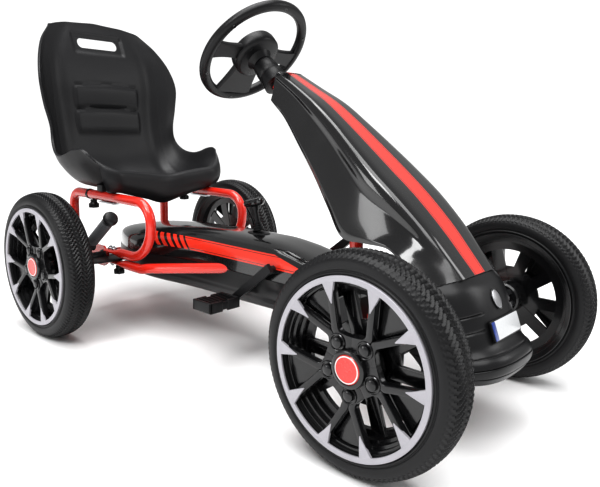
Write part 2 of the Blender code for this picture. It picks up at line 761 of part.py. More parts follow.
def make_crank():
    """One-piece crank: axle, two opposite arms, pedal spindles and its sprocket. The pivot is its axle."""
    pivot = new_pivot("crank_pivot", (0, CRANK_Y, CRANK_Z), parent=ROOT)
    half_arm = 0.004
    reach = CRANK_ARM_X + half_arm
    crank = rod("crank", (-reach, 0, 0), (reach, 0, 0), AXLE_RADIUS, "zinc_steel", pivot)
    outline = gear_outline(CRANK_SPROCKET_RADIUS - 0.002, CRANK_SPROCKET_RADIUS + 0.001, 16, (0, 0))
    inner = CHAIN_X - SPROCKET_THICK / 2
    sprocket = plate("crank_sprocket", outline, "X", inner, SPROCKET_THICK, pivot=pivot)
    weld(crank, sprocket)
    for side, sign in SIDES:
        turn = CRANK_ANGLE + (math.pi if sign > 0 else 0)
        along = Vector((0, math.cos(turn), math.sin(turn)))
        across = Vector((0, -along.z, along.y))
        ends = (-0.011, CRANK_LENGTH + 0.009)
        corners = [along * ends[0] + across * 0.009, along * ends[1] + across * 0.0075,
                   along * ends[1] - across * 0.0075, along * ends[0] - across * 0.009]
        arm = plate(
            f"crank_arm_{side}", [(c.y, c.z) for c in corners], "X", sign * CRANK_ARM_X - half_arm,
            half_arm * 2, pivot=pivot,
        )
        tip = along * CRANK_LENGTH
        inner = Vector((sign * CRANK_ARM_X, 0, 0)) + tip
        outer = Vector((sign * (CRANK_ARM_X + 0.009 + PEDAL_WIDTH - 0.008), 0, 0)) + tip
        spindle = rod(f"spindle_{side}", inner, outer, 0.0050, pivot=pivot, sides=12)
        weld(crank, arm, spindle)
        make_pedal(side, sign, tip, pivot)
        edge = CRANK_SHELL_HALF + GAP
        bush = [
            (AXLE_RADIUS + RUN, edge + 0.002),
            (0.0165, edge + 0.002),
            (0.0165, edge),
            (CRANK_BUSH_RADIUS, edge),
            (CRANK_BUSH_RADIUS, edge - 0.014),
            (AXLE_RADIUS + RUN, edge - 0.014),
        ]
        turned(
            f"crank_bush_{side}", bush, (sign, 0, 0), (0, CRANK_Y, CRANK_Z), "nylon", ROOT, steps=14
        )


def make_pedal(side, sign, tip, pivot):
    """Pedal block on its spindle."""
    inner = CRANK_ARM_X + 0.009
    place = Vector((sign * (inner + PEDAL_WIDTH / 2), 0, 0)) + tip
    half = Vector((PEDAL_WIDTH, PEDAL_DEPTH, PEDAL_THICK)) / 2
    pedal = block(f"pedal_{side}", -half, half, "satin_black", pivot, bevel=0.002)
    hole = rod(
        f"pedal_hole_{side}", (-sign * half.x * 1.2, 0, 0), (sign * (half.x - 0.0065), 0, 0),
        0.0050 + RUN, pivot=pivot, sides=12,
    )
    pedal.location = hole.location = place
    cut(pedal, hole)


def make_rear_axle():
    """Live axle with its sprocket, a collar at the left and the brake drum at the right."""
    pivot = new_pivot("rear_axle_pivot", (0, REAR_Y, WHEEL_RADIUS), parent=ROOT)
    reach = REAR_TRACK / 2 + HUB_HALF - 0.003
    axle = rod("rear_axle", (-reach, 0, 0), (reach, 0, 0), AXLE_RADIUS, "zinc_steel", pivot)
    inboard = HOOP_X + BRACKET_THICK / 2 + 0.0025 + GAP * 2 + 0.0004
    outboard = REAR_TRACK / 2 - HUB_HALF - RUN
    weld(axle, rod("axle_collar", (inboard, 0, 0), (outboard, 0, 0), 0.012, pivot=pivot))
    drum_in, drum_out = -BRAKE_PIVOT.x - 0.009, -BRAKE_PIVOT.x + 0.009
    drum = [
        (AXLE_RADIUS + GAP, outboard),
        (0.012, outboard),
        (0.012, drum_out),
        (DRUM_RADIUS, drum_out),
        (DRUM_RADIUS, drum_in),
        (0.012, drum_in),
        (0.012, inboard),
        (AXLE_RADIUS + GAP, inboard),
    ]
    turned("brake_drum", drum, (-1, 0, 0), (0, 0, 0), "dark_steel", pivot, steps=20)
    outline = gear_outline(REAR_SPROCKET_RADIUS - 0.002, REAR_SPROCKET_RADIUS + 0.001, 12, (0, 0))
    sprocket = plate(
        "rear_sprocket", outline, "X", CHAIN_X - SPROCKET_THICK / 2, SPROCKET_THICK, "dark_steel", pivot
    )
    hub = rod("sprocket_hub", (CHAIN_X - 0.008, 0, 0), (CHAIN_X + 0.008, 0, 0), 0.014, pivot=pivot)
    start, end = (CHAIN_X - 0.02, 0, 0), (CHAIN_X + 0.02, 0, 0)
    bore = rod("sprocket_bore", start, end, AXLE_RADIUS + GAP, pivot=pivot)
    weld(sprocket, hub)
    cut(sprocket, bore)


def chain_outline(margin):
    """Loop of (y, z) points round both sprockets, margin outside their radii."""
    ends = (
        (Vector((CRANK_Y, CRANK_Z)), CRANK_SPROCKET_RADIUS + margin),
        (Vector((REAR_Y, WHEEL_RADIUS)), REAR_SPROCKET_RADIUS + margin),
    )
    line = ends[1][0] - ends[0][0]
    heading = math.atan2(line.y, line.x)
    tilt = math.acos((ends[0][1] - ends[1][1]) / line.length)
    outline = []
    for (centre, radius), start, end in (
        (ends[0], heading + tilt, heading - tilt + math.tau),
        (ends[1], heading - tilt, heading + tilt),
    ):
        for step in range(14):
            turn = start + (end - start) * step / 13
            outline.append((centre.x + radius * math.cos(turn), centre.y + radius * math.sin(turn)))
    return outline


def make_chain():
    """The chain as one band round both sprockets, clear of their teeth."""
    low = CHAIN_X - 0.004
    band = plate("chain", chain_outline(CHAIN_CLEAR + CHAIN_BAND), "X", low, 0.008, "dark_steel", ROOT)
    inside = plate("chain_inside", chain_outline(CHAIN_CLEAR), "X", low - 0.01, 0.028, pivot=ROOT)
    cut(band, inside)


# ---- Shells


def casing_half_width(y):
    """Widest under the seat, narrow between the crank arms."""
    bulge = math.exp(-(((y - 0.325) / 0.105) ** 2))
    return 0.0715 + 0.029 * bulge


def casing_top(y):
    return 0.250 - 0.026 * max(0.0, (y - 0.10) / 0.36) ** 1.3 - 0.017 * max(0.0, (-0.02 - y) / 0.12) ** 1.6


CASING_STATIONS = (
    -0.265, -0.20, -0.13, -0.06, 0.02, 0.10, 0.17, 0.23, 0.29, 0.34, 0.39, 0.43, 0.465, 0.485, 0.497
)
CASING_REAR = 0.505


def casing_shrink(y):
    """How far a section is drawn in towards the rounded rear end, from 1 to 0."""
    return math.sqrt(max(0.0, 1 - max(0.0, (y - 0.36) / (CASING_REAR - 0.36)) ** 2.4))


def casing_solid(name, way, inset, finish=None):
    """Closed half of the casing, above the seam for way 1 and below it for -1. An inset makes its hollow."""
    loops = []
    stations = list(CASING_STATIONS)
    if inset:
        stations[0] -= 0.01
        stations[-1] -= inset
    for y in stations:
        shrink = casing_shrink(y)
        nose = min(1.0, 0.62 + (y + 0.265) / 0.30)
        width = casing_half_width(y) * shrink * nose - inset
        if way > 0:
            height = (casing_top(y) - CASING_SEAM_Z) * (0.25 + 0.75 * shrink) - inset
        else:
            height = (CASING_SEAM_Z - casing_bottom(y)) * (0.45 + 0.55 * shrink) - inset
        turns = [math.pi / 2 * step / 5 for step in range(6)]
        half = [
            (width * math.sin(t) ** 0.60, y, CASING_SEAM_Z + way * (GAP + height * math.cos(t) ** 0.55))
            for t in turns
        ]
        if inset:
            half[-1] = (width, y, CASING_SEAM_Z - way * 0.002)
        loops.append(both_sides(half))
    return loft(name, loops, finish, ROOT)


def make_casing():
    """Upper and lower shells round the chain, split at the seam, with holes for what passes through."""
    cover = casing_solid("casing_upper", 1, 0, "gloss_black")
    tray = casing_solid("casing_lower", -1, 0, "satin_black")
    cut(cover, casing_solid("casing_upper_hollow", 1, SHELL_WALL))
    cut(tray, casing_solid("casing_lower_hollow", -1, SHELL_WALL))
    hole = AXLE_RADIUS + 0.004
    crank_hole = rod(
        "casing_crank_hole", (-0.1, CRANK_Y, CRANK_Z), (0.1, CRANK_Y, CRANK_Z), hole, pivot=ROOT
    )
    axle_hole = rod(
        "casing_axle_hole", (-0.1, REAR_Y, WHEEL_RADIUS), (0.1, REAR_Y, WHEEL_RADIUS), hole, pivot=ROOT
    )
    post_hole = rod(
        "casing_post_hole", (0, POST_Y, 0.15), (0, POST_Y, 0.26), POST_RADIUS + 0.001, pivot=ROOT
    )
    lever_slot = block(
        "casing_lever_slot", (-0.0055, SHIFT_PIVOT.y - 0.013, 0.240),
        (0.0055, SHIFT_PIVOT.y + 0.017, 0.26), pivot=ROOT,
    )
    half, top = SPINE_WIDTH / 2 + 0.001, SPINE_Z + SPINE_HEIGHT / 2 + 0.001
    spine_slot = block(
        "casing_spine_slot", (-half, 0.39, top - SPINE_HEIGHT - 0.002), (half, 0.52, top), pivot=ROOT
    )
    for piece in (cover, tray):
        for side, sign in SIDES:
            name = f"{piece.name}_tube_hole_{side}"
            cut(piece, rod(name, *side_tube_line(sign), TUBE_RADIUS + 0.001, pivot=ROOT))
    cut(cover, crank_hole, post_hole, lever_slot)
    cut(tray, axle_hole, spine_slot)


def casing_bottom(y):
    return 0.1085 + 0.006 * ((y - 0.12) / 0.36) ** 2


def side_tube_line(sign):
    """The side tube's straight run through the casing, from its bend to its inner end."""
    return (
        Vector((sign * HOOP_X, SIDE_TUBE_BEND_Y, 0.158)),
        Vector((sign * 0.045, 0.012, 0.186)),
    )


FAIRING_RIBS = (
    # ridge y, z, half width; lower edge y, z, half width
    ((-0.047, 0.572, 0.036), (-0.037, 0.519, 0.047)),
    ((-0.100, 0.544, 0.042), (-0.076, 0.485, 0.052)),
    ((-0.150, 0.517, 0.052), (-0.120, 0.439, 0.062)),
    ((-0.200, 0.482, 0.058), (-0.165, 0.388, 0.070)),
    ((-0.250, 0.444, 0.067), (-0.206, 0.335, 0.078)),
    ((-0.300, 0.405, 0.074), (-0.243, 0.290, 0.085)),
    ((-0.350, 0.365, 0.073), (-0.294, 0.287, 0.090)),
    ((-0.400, 0.3185, 0.067), (-0.345, 0.285, 0.094)),
    ((-0.437, 0.279, 0.062), (-0.385, 0.262, 0.098)),
    ((-0.461, 0.253, 0.060), (-0.412, 0.235, 0.102)),
)


def make_fairing():
    """Steering fairing: a U-shaped shell, open to the rear and below."""
    rows = []
    for (top_y, top_z, top_half), (low_y, low_z, low_half) in FAIRING_RIBS:
        top, low = Vector((0, top_y, top_z)), Vector((0, low_y, low_z))
        half = []
        for share, width in ((0, 0), (0, 0.5 * top_half), (0.02, 0.85 * top_half), (0.10, top_half)):
            half.append(top.lerp(low, share) + Vector((width, 0, 0)))
        for share in (0.35, 0.65, 1.0):
            half.append(top.lerp(low, share) + Vector((top_half + (low_half - top_half) * share, 0, 0)))
        rows.append(both_sides([tuple(point) for point in half]))
    shell("fairing", rows, FAIRING_WALL, "gloss_black", ROOT)


BUMPER_RIBS = (
    # middle y, z; side y, z
    ((-0.4620, 0.2520), (-0.4130, 0.2340)),
    ((-0.4770, 0.2400), (-0.4260, 0.2220)),
    ((-0.4900, 0.2200), (-0.4370, 0.2030)),
    ((-0.5020, 0.1950), (-0.4480, 0.1780)),
    ((-0.5150, 0.1620), (-0.4600, 0.1470)),
    ((-0.5370, 0.1440), (-0.4800, 0.1310)),
    ((-0.5410, 0.1260), (-0.4880, 0.1180)),
    ((-0.5320, 0.1080), (-0.4820, 0.1060)),
)
BUMPER_CURVE = ((0, 0), (0.04, 0.04), (0.07, 0.22), (0.09, 0.52), (0.103, 0.92), (0.108, 1.35), (0.110, 2.1))


def make_bumper():
    """Front bumper: a rounded nose shell below the fairing's lower edge."""
    rows = []
    for (mid_y, mid_z), (side_y, side_z) in BUMPER_RIBS:
        middle, side = Vector((0, mid_y, mid_z)), Vector((0, side_y, side_z))
        drop = Vector((0, 0.0006, -0.0006))
        half = []
        for width, share in BUMPER_CURVE:
            point = middle.lerp(side, min(share, 1)) + drop
            point.y += (side_y - mid_y) * max(0, share - 1)
            point.x = width
            half.append(tuple(point))
        rows.append(both_sides(half))
    bumper = shell("front_bumper", rows, FAIRING_WALL, "satin_black", ROOT)
    behind = (0, FRONT_Y, WHEEL_RADIUS)
    reach = Vector((0.12, 0, 0))
    beam_notch = rod(
        "beam_notch", Vector(behind) - reach, Vector(behind) + reach, BEAM_RADIUS + 0.002, pivot=ROOT
    )
    cut(bumper, beam_notch)
    shield = [
        (-0.010, 0.017), (0.010, 0.017), (0.0145, 0.011), (0.0145, -0.004), (0.008, -0.015),
        (0, -0.019), (-0.008, -0.015), (-0.0145, -0.004), (-0.0145, 0.011),
    ]
    number = [(-0.048, -0.0165), (0.048, -0.0165), (0.048, 0.0165), (-0.048, 0.0165)]
    for name, outline, above, below in (
        ("badge_pad", shield, BUMPER_RIBS[1][0], BUMPER_RIBS[3][0]),
        ("number_pad", number, BUMPER_RIBS[3][0], BUMPER_RIBS[4][0]),
    ):
        above, below = Vector((0, *above)), Vector((0, *below))
        lean = math.atan2(above.y - below.y, above.z - below.z)
        pivot = new_pivot(f"{name}_pivot", (above + below) / 2, (-lean, 0, 0), ROOT)
        weld(bumper, plate(name, outline, "Y", -PAD_RAISE, PAD_RAISE + FAIRING_WALL / 2, pivot=pivot))


# ---- Seat and its hoops

SEAT_RIBS = (
    # middle y, z; shoulder x, y, z; edge x, y, z, from the apron's foot over the lip and up the back
    ((0.362, 0.2800), (0.128, 0.344, 0.3130), (0.156, 0.352, 0.3170)),
    ((0.347, 0.2960), (0.134, 0.334, 0.3240), (0.166, 0.349, 0.3350)),
    ((0.342, 0.3200), (0.136, 0.329, 0.3400), (0.171, 0.350, 0.3550)),
    ((0.346, 0.3430), (0.135, 0.333, 0.3610), (0.173, 0.356, 0.3760)),
    ((0.362, 0.3470), (0.133, 0.350, 0.3640), (0.180, 0.374, 0.3950)),
    ((0.385, 0.3350), (0.134, 0.378, 0.3470), (0.188, 0.397, 0.4090)),
    ((0.420, 0.3230), (0.136, 0.418, 0.3300), (0.193, 0.430, 0.4060)),
    ((0.465, 0.3200), (0.137, 0.462, 0.3280), (0.194, 0.462, 0.3960)),
    ((0.510, 0.3240), (0.136, 0.505, 0.3320), (0.192, 0.490, 0.3920)),
    ((0.545, 0.3420), (0.134, 0.540, 0.3500), (0.185, 0.520, 0.3990)),
    ((0.570, 0.3800), (0.132, 0.566, 0.3880), (0.177, 0.545, 0.4220)),
    ((0.584, 0.4400), (0.130, 0.584, 0.4450), (0.175, 0.553, 0.4580)),
    ((0.592, 0.5050), (0.132, 0.594, 0.5080), (0.186, 0.557, 0.5080)),
    ((0.597, 0.5650), (0.136, 0.600, 0.5660), (0.192, 0.561, 0.5640)),
    ((0.612, 0.6200), (0.130, 0.612, 0.6200), (0.182, 0.580, 0.6150)),
    ((0.632, 0.6700), (0.112, 0.630, 0.6650), (0.160, 0.608, 0.6600)),
    ((0.650, 0.7060), (0.086, 0.647, 0.7010), (0.132, 0.634, 0.6930)),
    ((0.6545, 0.7170), (0.078, 0.652, 0.7120), (0.120, 0.640, 0.7020)),
)


def seat_row(middle, shoulder, edge):
    """Half a row across the seat: nearly flat to the shoulder, then curling up or forward to the edge."""
    centre = Vector((0, *middle))
    shoulder, edge = Vector(shoulder), Vector(edge)
    half = [centre, centre.lerp(shoulder, 0.40), centre.lerp(shoulder, 0.74)]
    half += [shoulder, shoulder.lerp(edge, 0.5) + (shoulder - centre) * 0.06, edge]
    return both_sides([tuple(point) for point in half])


def make_seat():
    """Bucket seat, one moulding with a hand slot; its feet sit on the hoops."""
    pivot = new_pivot("seat_pivot", (0, 0, 0), parent=ROOT)
    rows = [seat_row(*rib) for rib in SEAT_RIBS]
    seat = shell("seat", [row[::-1] for row in rows], SEAT_WALL, "seat_plastic", pivot)
    slot_z = 0.662
    slot = block(
        "seat_slot", (-SLOT_HALF_WIDTH, 0.58, slot_z - 0.014),
        (SLOT_HALF_WIDTH, 0.69, slot_z + 0.014), pivot=pivot,
    )
    cut(seat, slot)
    foot_z = HOOP_TOP_Z + TUBE_RADIUS + GAP
    for side, sign in SIDES:
        for label, y, rise in zip(("front", "rear"), SEAT_SCREW_Y, SEAT_FOOT_RISE):
            low = (sign * HOOP_X - 0.0105, y - 0.0085, foot_z)
            high = (sign * HOOP_X + 0.0105, y + 0.0135, foot_z + rise)
            weld(seat, block(f"seat_foot_{label}_{side}", low, high, pivot=pivot))
    for side, sign in SIDES:
        for label, y in zip(("front", "rear"), SEAT_SCREW_Y):
            start, end = (sign * HOOP_X, y, foot_z - 0.01), (sign * HOOP_X, y, foot_z + 0.0110)
            name = f"screw_bore_{label}_{side}"
            cut(seat, rod(name, start, end, SCREW_RADIUS + GAP, pivot=pivot, sides=12))
        make_hoop(side, sign, pivot)


def make_hoop(side, sign, pivot):
    """C-shaped tube under the seat. Its upper end is the sleeve that slides on the rear frame."""
    x = sign * HOOP_X
    corners = [
        (x, HOOP_JOINT_Y, HOOP_TOP_Z),
        (x, HOOP_FRONT_Y, HOOP_TOP_Z),
        (x, HOOP_FRONT_Y, HOOP_LOW_Z),
        (x, HOOP_END_Y, HOOP_LOW_Z),
    ]
    upper, lower = 0.046, HOOP_TOP_Z - HOOP_LOW_Z - 0.0475
    path = rounded_path(corners, (upper, lower), 5)
    hoop = tube(f"seat_hoop_{side}", path, TUBE_RADIUS, "red_paint", pivot)
    start = (x, HOOP_JOINT_Y - SLIDE_ROD_LENGTH - 0.004, HOOP_TOP_Z)
    end = (x, HOOP_JOINT_Y + 0.01, HOOP_TOP_Z)
    bore = rod(f"slide_bore_{side}", start, end, SLIDE_ROD_RADIUS + GAP, pivot=pivot)
    stud = KNOB_STUD_RADIUS + GAP
    knob_hole = rod(
        f"knob_hole_{side}", (x, UPPER_KNOB_Y, HOOP_TOP_Z - 0.02), (x, UPPER_KNOB_Y, HOOP_TOP_Z), stud,
        pivot=pivot, sides=12,
    )
    cut(hoop, bore, knob_hole)
    under = HOOP_TOP_Z - TUBE_RADIUS - GAP
    strap = block(
        f"seat_strap_{side}", (x - 0.008, SEAT_SCREW_Y[0] - 0.010, under - 0.003),
        (x + 0.008, SEAT_SCREW_Y[1] + 0.010, under), "zinc_steel", pivot,
    )
    for label, y in zip(("front", "rear"), SEAT_SCREW_Y):
        foot, head = (x, y, under - 0.002), (x, y, HOOP_TOP_Z + TUBE_RADIUS + 0.010)
        weld(strap, rod(f"seat_stud_{label}_{side}", foot, head, SCREW_RADIUS, pivot=pivot, sides=12))
        low, high = (x, y, under - 0.01), (x, y, HOOP_TOP_Z + 0.02)
        cut(hoop, rod(f"stud_hole_{label}_{side}", low, high, SCREW_RADIUS + GAP, pivot=pivot, sides=12))
    make_knob(f"upper_knob_{side}", (x, UPPER_KNOB_Y, under), HOOP_TOP_Z - SLIDE_ROD_RADIUS - GAP, pivot)


def make_knob(name, place, stud_top, pivot):
    """Clamping knob that hangs below place, with its stud reaching up to stud_top."""
    x, y, top = place
    stud = stud_top - top
    profile = [
        (0, stud),
        (KNOB_STUD_RADIUS, stud),
        (KNOB_STUD_RADIUS, -0.001),
        (0.0075, -0.001),
        (0.0080, -0.007),
        (KNOB_RADIUS, -0.010),
        (KNOB_RADIUS, -0.018),
        (0, -0.020),
    ]
    turned(name, profile, (0, 0, 1), place, "satin_black", pivot, steps=12, ring=False)


# ---- Hand brake and shift lever


def make_brake():
    """Plate on the right side tube, with the lever, its grip and shoe, swinging about a cross bolt."""
    x, y, z = BRAKE_PIVOT
    top = SIDE_TUBE_Z + 0.007 + GAP
    floor = plate(
        "brake_bracket",
        [(-HOOP_X + 0.011, 0.341), (-HOOP_X + 0.011, 0.388), (x + 0.022, 0.388),
         (x - 0.014, 0.388), (x - 0.014, 0.350)],
        "Z", top, BRAKE_PLATE, "satin_black", ROOT,
    )
    cheek = plate(
        "brake_cheek",
        [(0.350, top), (0.396, top), (y + 0.012, z + 0.008), (y, z + 0.014), (y - 0.012, z + 0.008)],
        "X", x - 0.014, 0.004, pivot=ROOT,
    )
    bolt = rod("brake_bolt", (x - 0.019, y, z), (x + 0.010, y, z), 0.004, pivot=ROOT, sides=12)
    head = rod("bolt_head", (x - 0.019, y, z), (x - 0.0135, y, z), 0.008, pivot=ROOT, sides=6)
    weld(floor, cheek, bolt, head)
    x0 = -HOOP_X
    low, high = (x0, LOWER_KNOB_Y, 0.1), (x0, LOWER_KNOB_Y, 0.2)
    cut(floor, rod("bracket_hole", low, high, KNOB_STUD_RADIUS + GAP, pivot=ROOT, sides=12))
    pivot = new_pivot("brake_pivot", BRAKE_PIVOT, parent=ROOT)
    up = Vector((0, -math.cos(BRAKE_ANGLE), math.sin(BRAKE_ANGLE)))
    lever = rod("brake_lever", (-0.0095, 0, 0), (0.0095, 0, 0), 0.0125, "dark_steel", pivot, sides=20)
    core = rod("brake_core", (0, 0, 0), up * (0.016 + GRIP_LENGTH - 0.005), 0.0055, pivot=pivot, sides=12)
    arm = block("shoe_arm", (-0.005, 0, -0.002), (0.005, 0.050, 0.006), pivot=pivot)
    shoe = block("brake_shoe", (-0.0085, 0.034, -0.004), (0.0085, 0.054, 0.001), pivot=pivot)
    weld(lever, core, arm, shoe)
    cut(lever, rod("lever_bore", (-0.02, 0, 0), (0.02, 0, 0), 0.004 + RUN, pivot=pivot, sides=12))
    base = up * 0.016
    grip_profile = [
        (0, GRIP_LENGTH + 0.002),
        (GRIP_RADIUS + 0.001, GRIP_LENGTH),
        (GRIP_RADIUS + 0.0032, GRIP_LENGTH - 0.005),
        (GRIP_RADIUS + 0.0032, GRIP_LENGTH - 0.010),
        (GRIP_RADIUS, GRIP_LENGTH - 0.013),
        (GRIP_RADIUS, 0),
        (0.0055 + GAP, 0),
        (0.0055 + GAP, GRIP_LENGTH - 0.002),
        (0, GRIP_LENGTH - 0.002),
    ]
    turned("brake_grip", grip_profile, up, base, "grip_grey", pivot, steps=16, ring=False)


def make_shift_lever():
    """Short lever through the casing's slot with a cross handle; its pin turns in the frame's cheeks."""
    pivot = new_pivot("shift_pivot", SHIFT_PIVOT, parent=ROOT)
    up = Vector((0, -math.sin(SHIFT_LEAN), math.cos(SHIFT_LEAN)))
    lever = rod("shift_lever", up * -0.008, up * SHIFT_LENGTH, 0.0040, "dark_steel", pivot, sides=12)
    weld(lever, rod("shift_pin", (-0.012, 0, 0), (0.012, 0, 0), SHIFT_PIN_RADIUS, pivot=pivot, sides=12))
    handle = rod(
        "shift_handle", up * SHIFT_LENGTH - Vector((0.028, 0, 0)), up * SHIFT_LENGTH + Vector((0.028, 0, 0)),
        0.0105, "satin_black", pivot,
    )
    low, high = up * (SHIFT_LENGTH - 0.02), up * (SHIFT_LENGTH + GAP)
    cut(handle, rod("handle_bore", low, high, 0.0040 + GAP, pivot=pivot, sides=12))


# ---- The kart


clear_scene()
KART = new_collection("pedal_go_kart")
CUTTERS = new_collection("cutters")
CUTTERS.hide_render = True
ROOT = new_pivot("kart_root", (0, KART_SHIFT_Y, 0))
COLUMN = new_pivot("column_line", STEER_CENTRE, (-STEER_LEAN, 0, 0), ROOT)
STEERING = new_pivot("steering_pivot", STEER_CENTRE, (-STEER_LEAN, 0, 0), ROOT)
make_main_frame()
make_rear_frame()
make_front_axle()
make_column()
make_steering_wheel()
make_steering_shaft()
make_crank()
make_rear_axle()
make_chain()
make_casing()
make_fairing()
make_bumper()
make_seat()
make_brake()
make_shift_lever()
for side_name, side_sign in SIDES:
    make_axle_bracket(side_name, side_sign)
    make_side_tube(side_name, side_sign)
    make_kingpin(side_name, side_sign)
    kingpin = (side_sign * KINGPIN_X, FRONT_Y, WHEEL_RADIUS)
    make_knuckle(side_name, side_sign, new_pivot(f"knuckle_pivot_{side_name}", kingpin, parent=ROOT))
    tie_bolt = (kingpin[0], FRONT_Y + KNUCKLE_ARM, TIE_ROD_Z)
    make_tie_rod(side_name, side_sign, new_pivot(f"tie_rod_pivot_{side_name}", tie_bolt, parent=ROOT))
    make_wheel("front", side_name, side_sign, FRONT_TRACK, (0, FRONT_Y, WHEEL_RADIUS))
    make_wheel("rear", side_name, side_sign, REAR_TRACK, (0, REAR_Y, WHEEL_RADIUS))
    low_knob = (side_sign * HOOP_X, LOWER_KNOB_Y, SIDE_TUBE_Z - 0.004 - GAP)
    make_knob(f"lower_knob_{side_name}", low_knob, HOOP_LOW_Z - TUBE_RADIUS - GAP, ROOT)
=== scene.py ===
import json
import math

import bmesh
import bpy
import numpy as np
from mathutils import Matrix, Vector


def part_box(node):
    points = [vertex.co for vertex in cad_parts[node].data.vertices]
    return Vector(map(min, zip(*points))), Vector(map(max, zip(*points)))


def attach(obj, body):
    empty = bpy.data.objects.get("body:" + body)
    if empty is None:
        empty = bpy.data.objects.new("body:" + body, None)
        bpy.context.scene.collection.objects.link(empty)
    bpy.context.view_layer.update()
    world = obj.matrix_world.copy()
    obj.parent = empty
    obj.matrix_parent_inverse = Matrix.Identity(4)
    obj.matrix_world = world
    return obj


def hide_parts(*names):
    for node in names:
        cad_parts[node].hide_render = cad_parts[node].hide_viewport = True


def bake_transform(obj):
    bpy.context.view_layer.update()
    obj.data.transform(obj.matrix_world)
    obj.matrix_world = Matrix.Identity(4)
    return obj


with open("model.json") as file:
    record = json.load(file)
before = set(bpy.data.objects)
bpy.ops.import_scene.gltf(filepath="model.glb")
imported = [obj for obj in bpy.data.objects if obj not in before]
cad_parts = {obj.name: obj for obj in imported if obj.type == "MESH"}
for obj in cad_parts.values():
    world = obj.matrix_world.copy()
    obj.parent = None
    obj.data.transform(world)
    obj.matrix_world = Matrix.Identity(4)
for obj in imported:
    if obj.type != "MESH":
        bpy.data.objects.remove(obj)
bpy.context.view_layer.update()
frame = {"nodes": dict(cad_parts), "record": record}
scene = bpy.context.scene

# The kart's own measure has y = 0 midway between the axles; toFrame moves it to the frame's.
rearAxle = {"y": 0.4124, "z": 0.159, "track": 0.5468}
frontAxle = {"y": -0.4124, "z": 0.159, "track": 0.4866}
axleLow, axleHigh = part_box("rear_sprocket")
moveY = (axleLow.y + axleHigh.y) / 2 - rearAxle["y"]
toFrame = Matrix.Translation((0, moveY, 0))


class Wire:
    # one output socket; arithmetic on it adds Math nodes
    def __init__(self, paint, socket):
        self.paint, self.socket = paint, socket

    def math(self, operation, *others, flip=False):
        values = [self, *others]
        if flip:
            values.reverse()
        made = self.paint.node("ShaderNodeMath", {"operation": operation}, dict(enumerate(values)))
        return made[0]

    def __add__(self, other): return self.math("ADD", other)
    def __radd__(self, other): return self.math("ADD", other)
    def __sub__(self, other): return self.math("SUBTRACT", other)
    def __rsub__(self, other): return self.math("SUBTRACT", other, flip=True)
    def __mul__(self, other): return self.math("MULTIPLY", other)
    def __rmul__(self, other): return self.math("MULTIPLY", other)
    def __truediv__(self, other): return self.math("DIVIDE", other)
    def __lt__(self, other): return self.math("LESS_THAN", other)
    def __gt__(self, other): return self.math("GREATER_THAN", other)
    def __abs__(self): return self.math("ABSOLUTE")
    def fraction(self): return self.math("FRACT")


class Paint:
    # a material or a sky being built, with its shader
    def __init__(self, material, shader="Principled BSDF"):
        self.material = material
        self.material.use_nodes = True
        self.tree = self.material.node_tree
        self.shader = self.tree.nodes[shader]

    def link(self, target, value):
        if isinstance(value, Wire):
            self.tree.links.new(value.socket, target)
        elif isinstance(value, tuple) and len(value) == 3 and len(target.default_value) == 4:
            target.default_value = (*value, 1)
        else:
            target.default_value = value

    def node(self, kind, settings=None, inputs=None):
        made = self.tree.nodes.new(kind)
        for key, value in (settings or {}).items():
            if key == "stops":
                ramp = made.color_ramp
                while len(ramp.elements) > 1:
                    ramp.elements.remove(ramp.elements[-1])
                for number, (place, colour) in enumerate(value):
                    stop = ramp.elements[0] if number == 0 else ramp.elements.new(place)
                    stop.position = place
                    stop.color = (*colour, 1) if isinstance(colour, tuple) else (colour, colour, colour, 1)
            else:
                setattr(made, key, value)
        for key, value in (inputs or {}).items():
            self.link(made.inputs[key], value)
        return [Wire(self, socket) for socket in made.outputs if socket.enabled]

    def place(self):
        if not hasattr(self, "_place"):
            self._place = self.node("ShaderNodeTexCoord")[3]
        return self._place

    def axes(self):
        if not hasattr(self, "_axes"):
            self._axes = self.node("ShaderNodeSeparateXYZ", None, {0: self.place()})
        return self._axes

    def noise(self, scale, detail=3.0, rough=0.5):
        return self.node(
            "ShaderNodeTexNoise", None, {"Vector": self.place(), "Scale": scale, "Detail": detail, "Roughness": rough}
        )[0]

    def mix(self, factor, first, second):
        return self.node("ShaderNodeMix", {"data_type": "RGBA"}, {0: factor, 6: first, 7: second})[0]

    def bump(self, height, strength, distance):
        return self.node("ShaderNodeBump", None, {"Strength": strength, "Distance": distance, "Height": height})[0]

    def done(self, **sockets):
        for name, value in sockets.items():
            key = "".join(" " + c if c.isupper() else c for c in name).strip().title()
            key = {"Specular Level": "Specular IOR Level"}.get(key, key)
            self.link(self.shader.inputs[key], value)
        return self.material


def inScene(name, data):
    obj = bpy.data.objects.new(name, data)
    scene.collection.objects.link(obj)
    return obj


def shaded(obj, angle):
    # smooth, with sharp edges where the faces meet at more than the angle
    obj.data.shade_smooth()
    obj.data.set_sharp_from_angle(angle=math.radians(angle))
    return obj


def makeObject(name, bm, paint, smooth=40):
    bmesh.ops.remove_doubles(bm, verts=bm.verts, dist=1e-6)
    bmesh.ops.recalc_face_normals(bm, faces=bm.faces[:])
    mesh = bpy.data.meshes.new(name)
    bm.to_mesh(mesh)
    bm.free()
    mesh.materials.append(paint)
    return shaded(inScene(name, mesh), smooth)


def bake(obj):
    # the evaluated shape becomes the mesh, and the modifiers go
    graph = bpy.context.evaluated_depsgraph_get()
    mesh = bpy.data.meshes.new_from_object(obj.evaluated_get(graph))
    obj.modifiers.clear()
    obj.data = mesh
    return obj


def addModifier(obj, kind, **settings):
    modifier = obj.modifiers.new(kind.title(), kind)
    for key, value in settings.items():
        setattr(modifier, key, value)
    return modifier


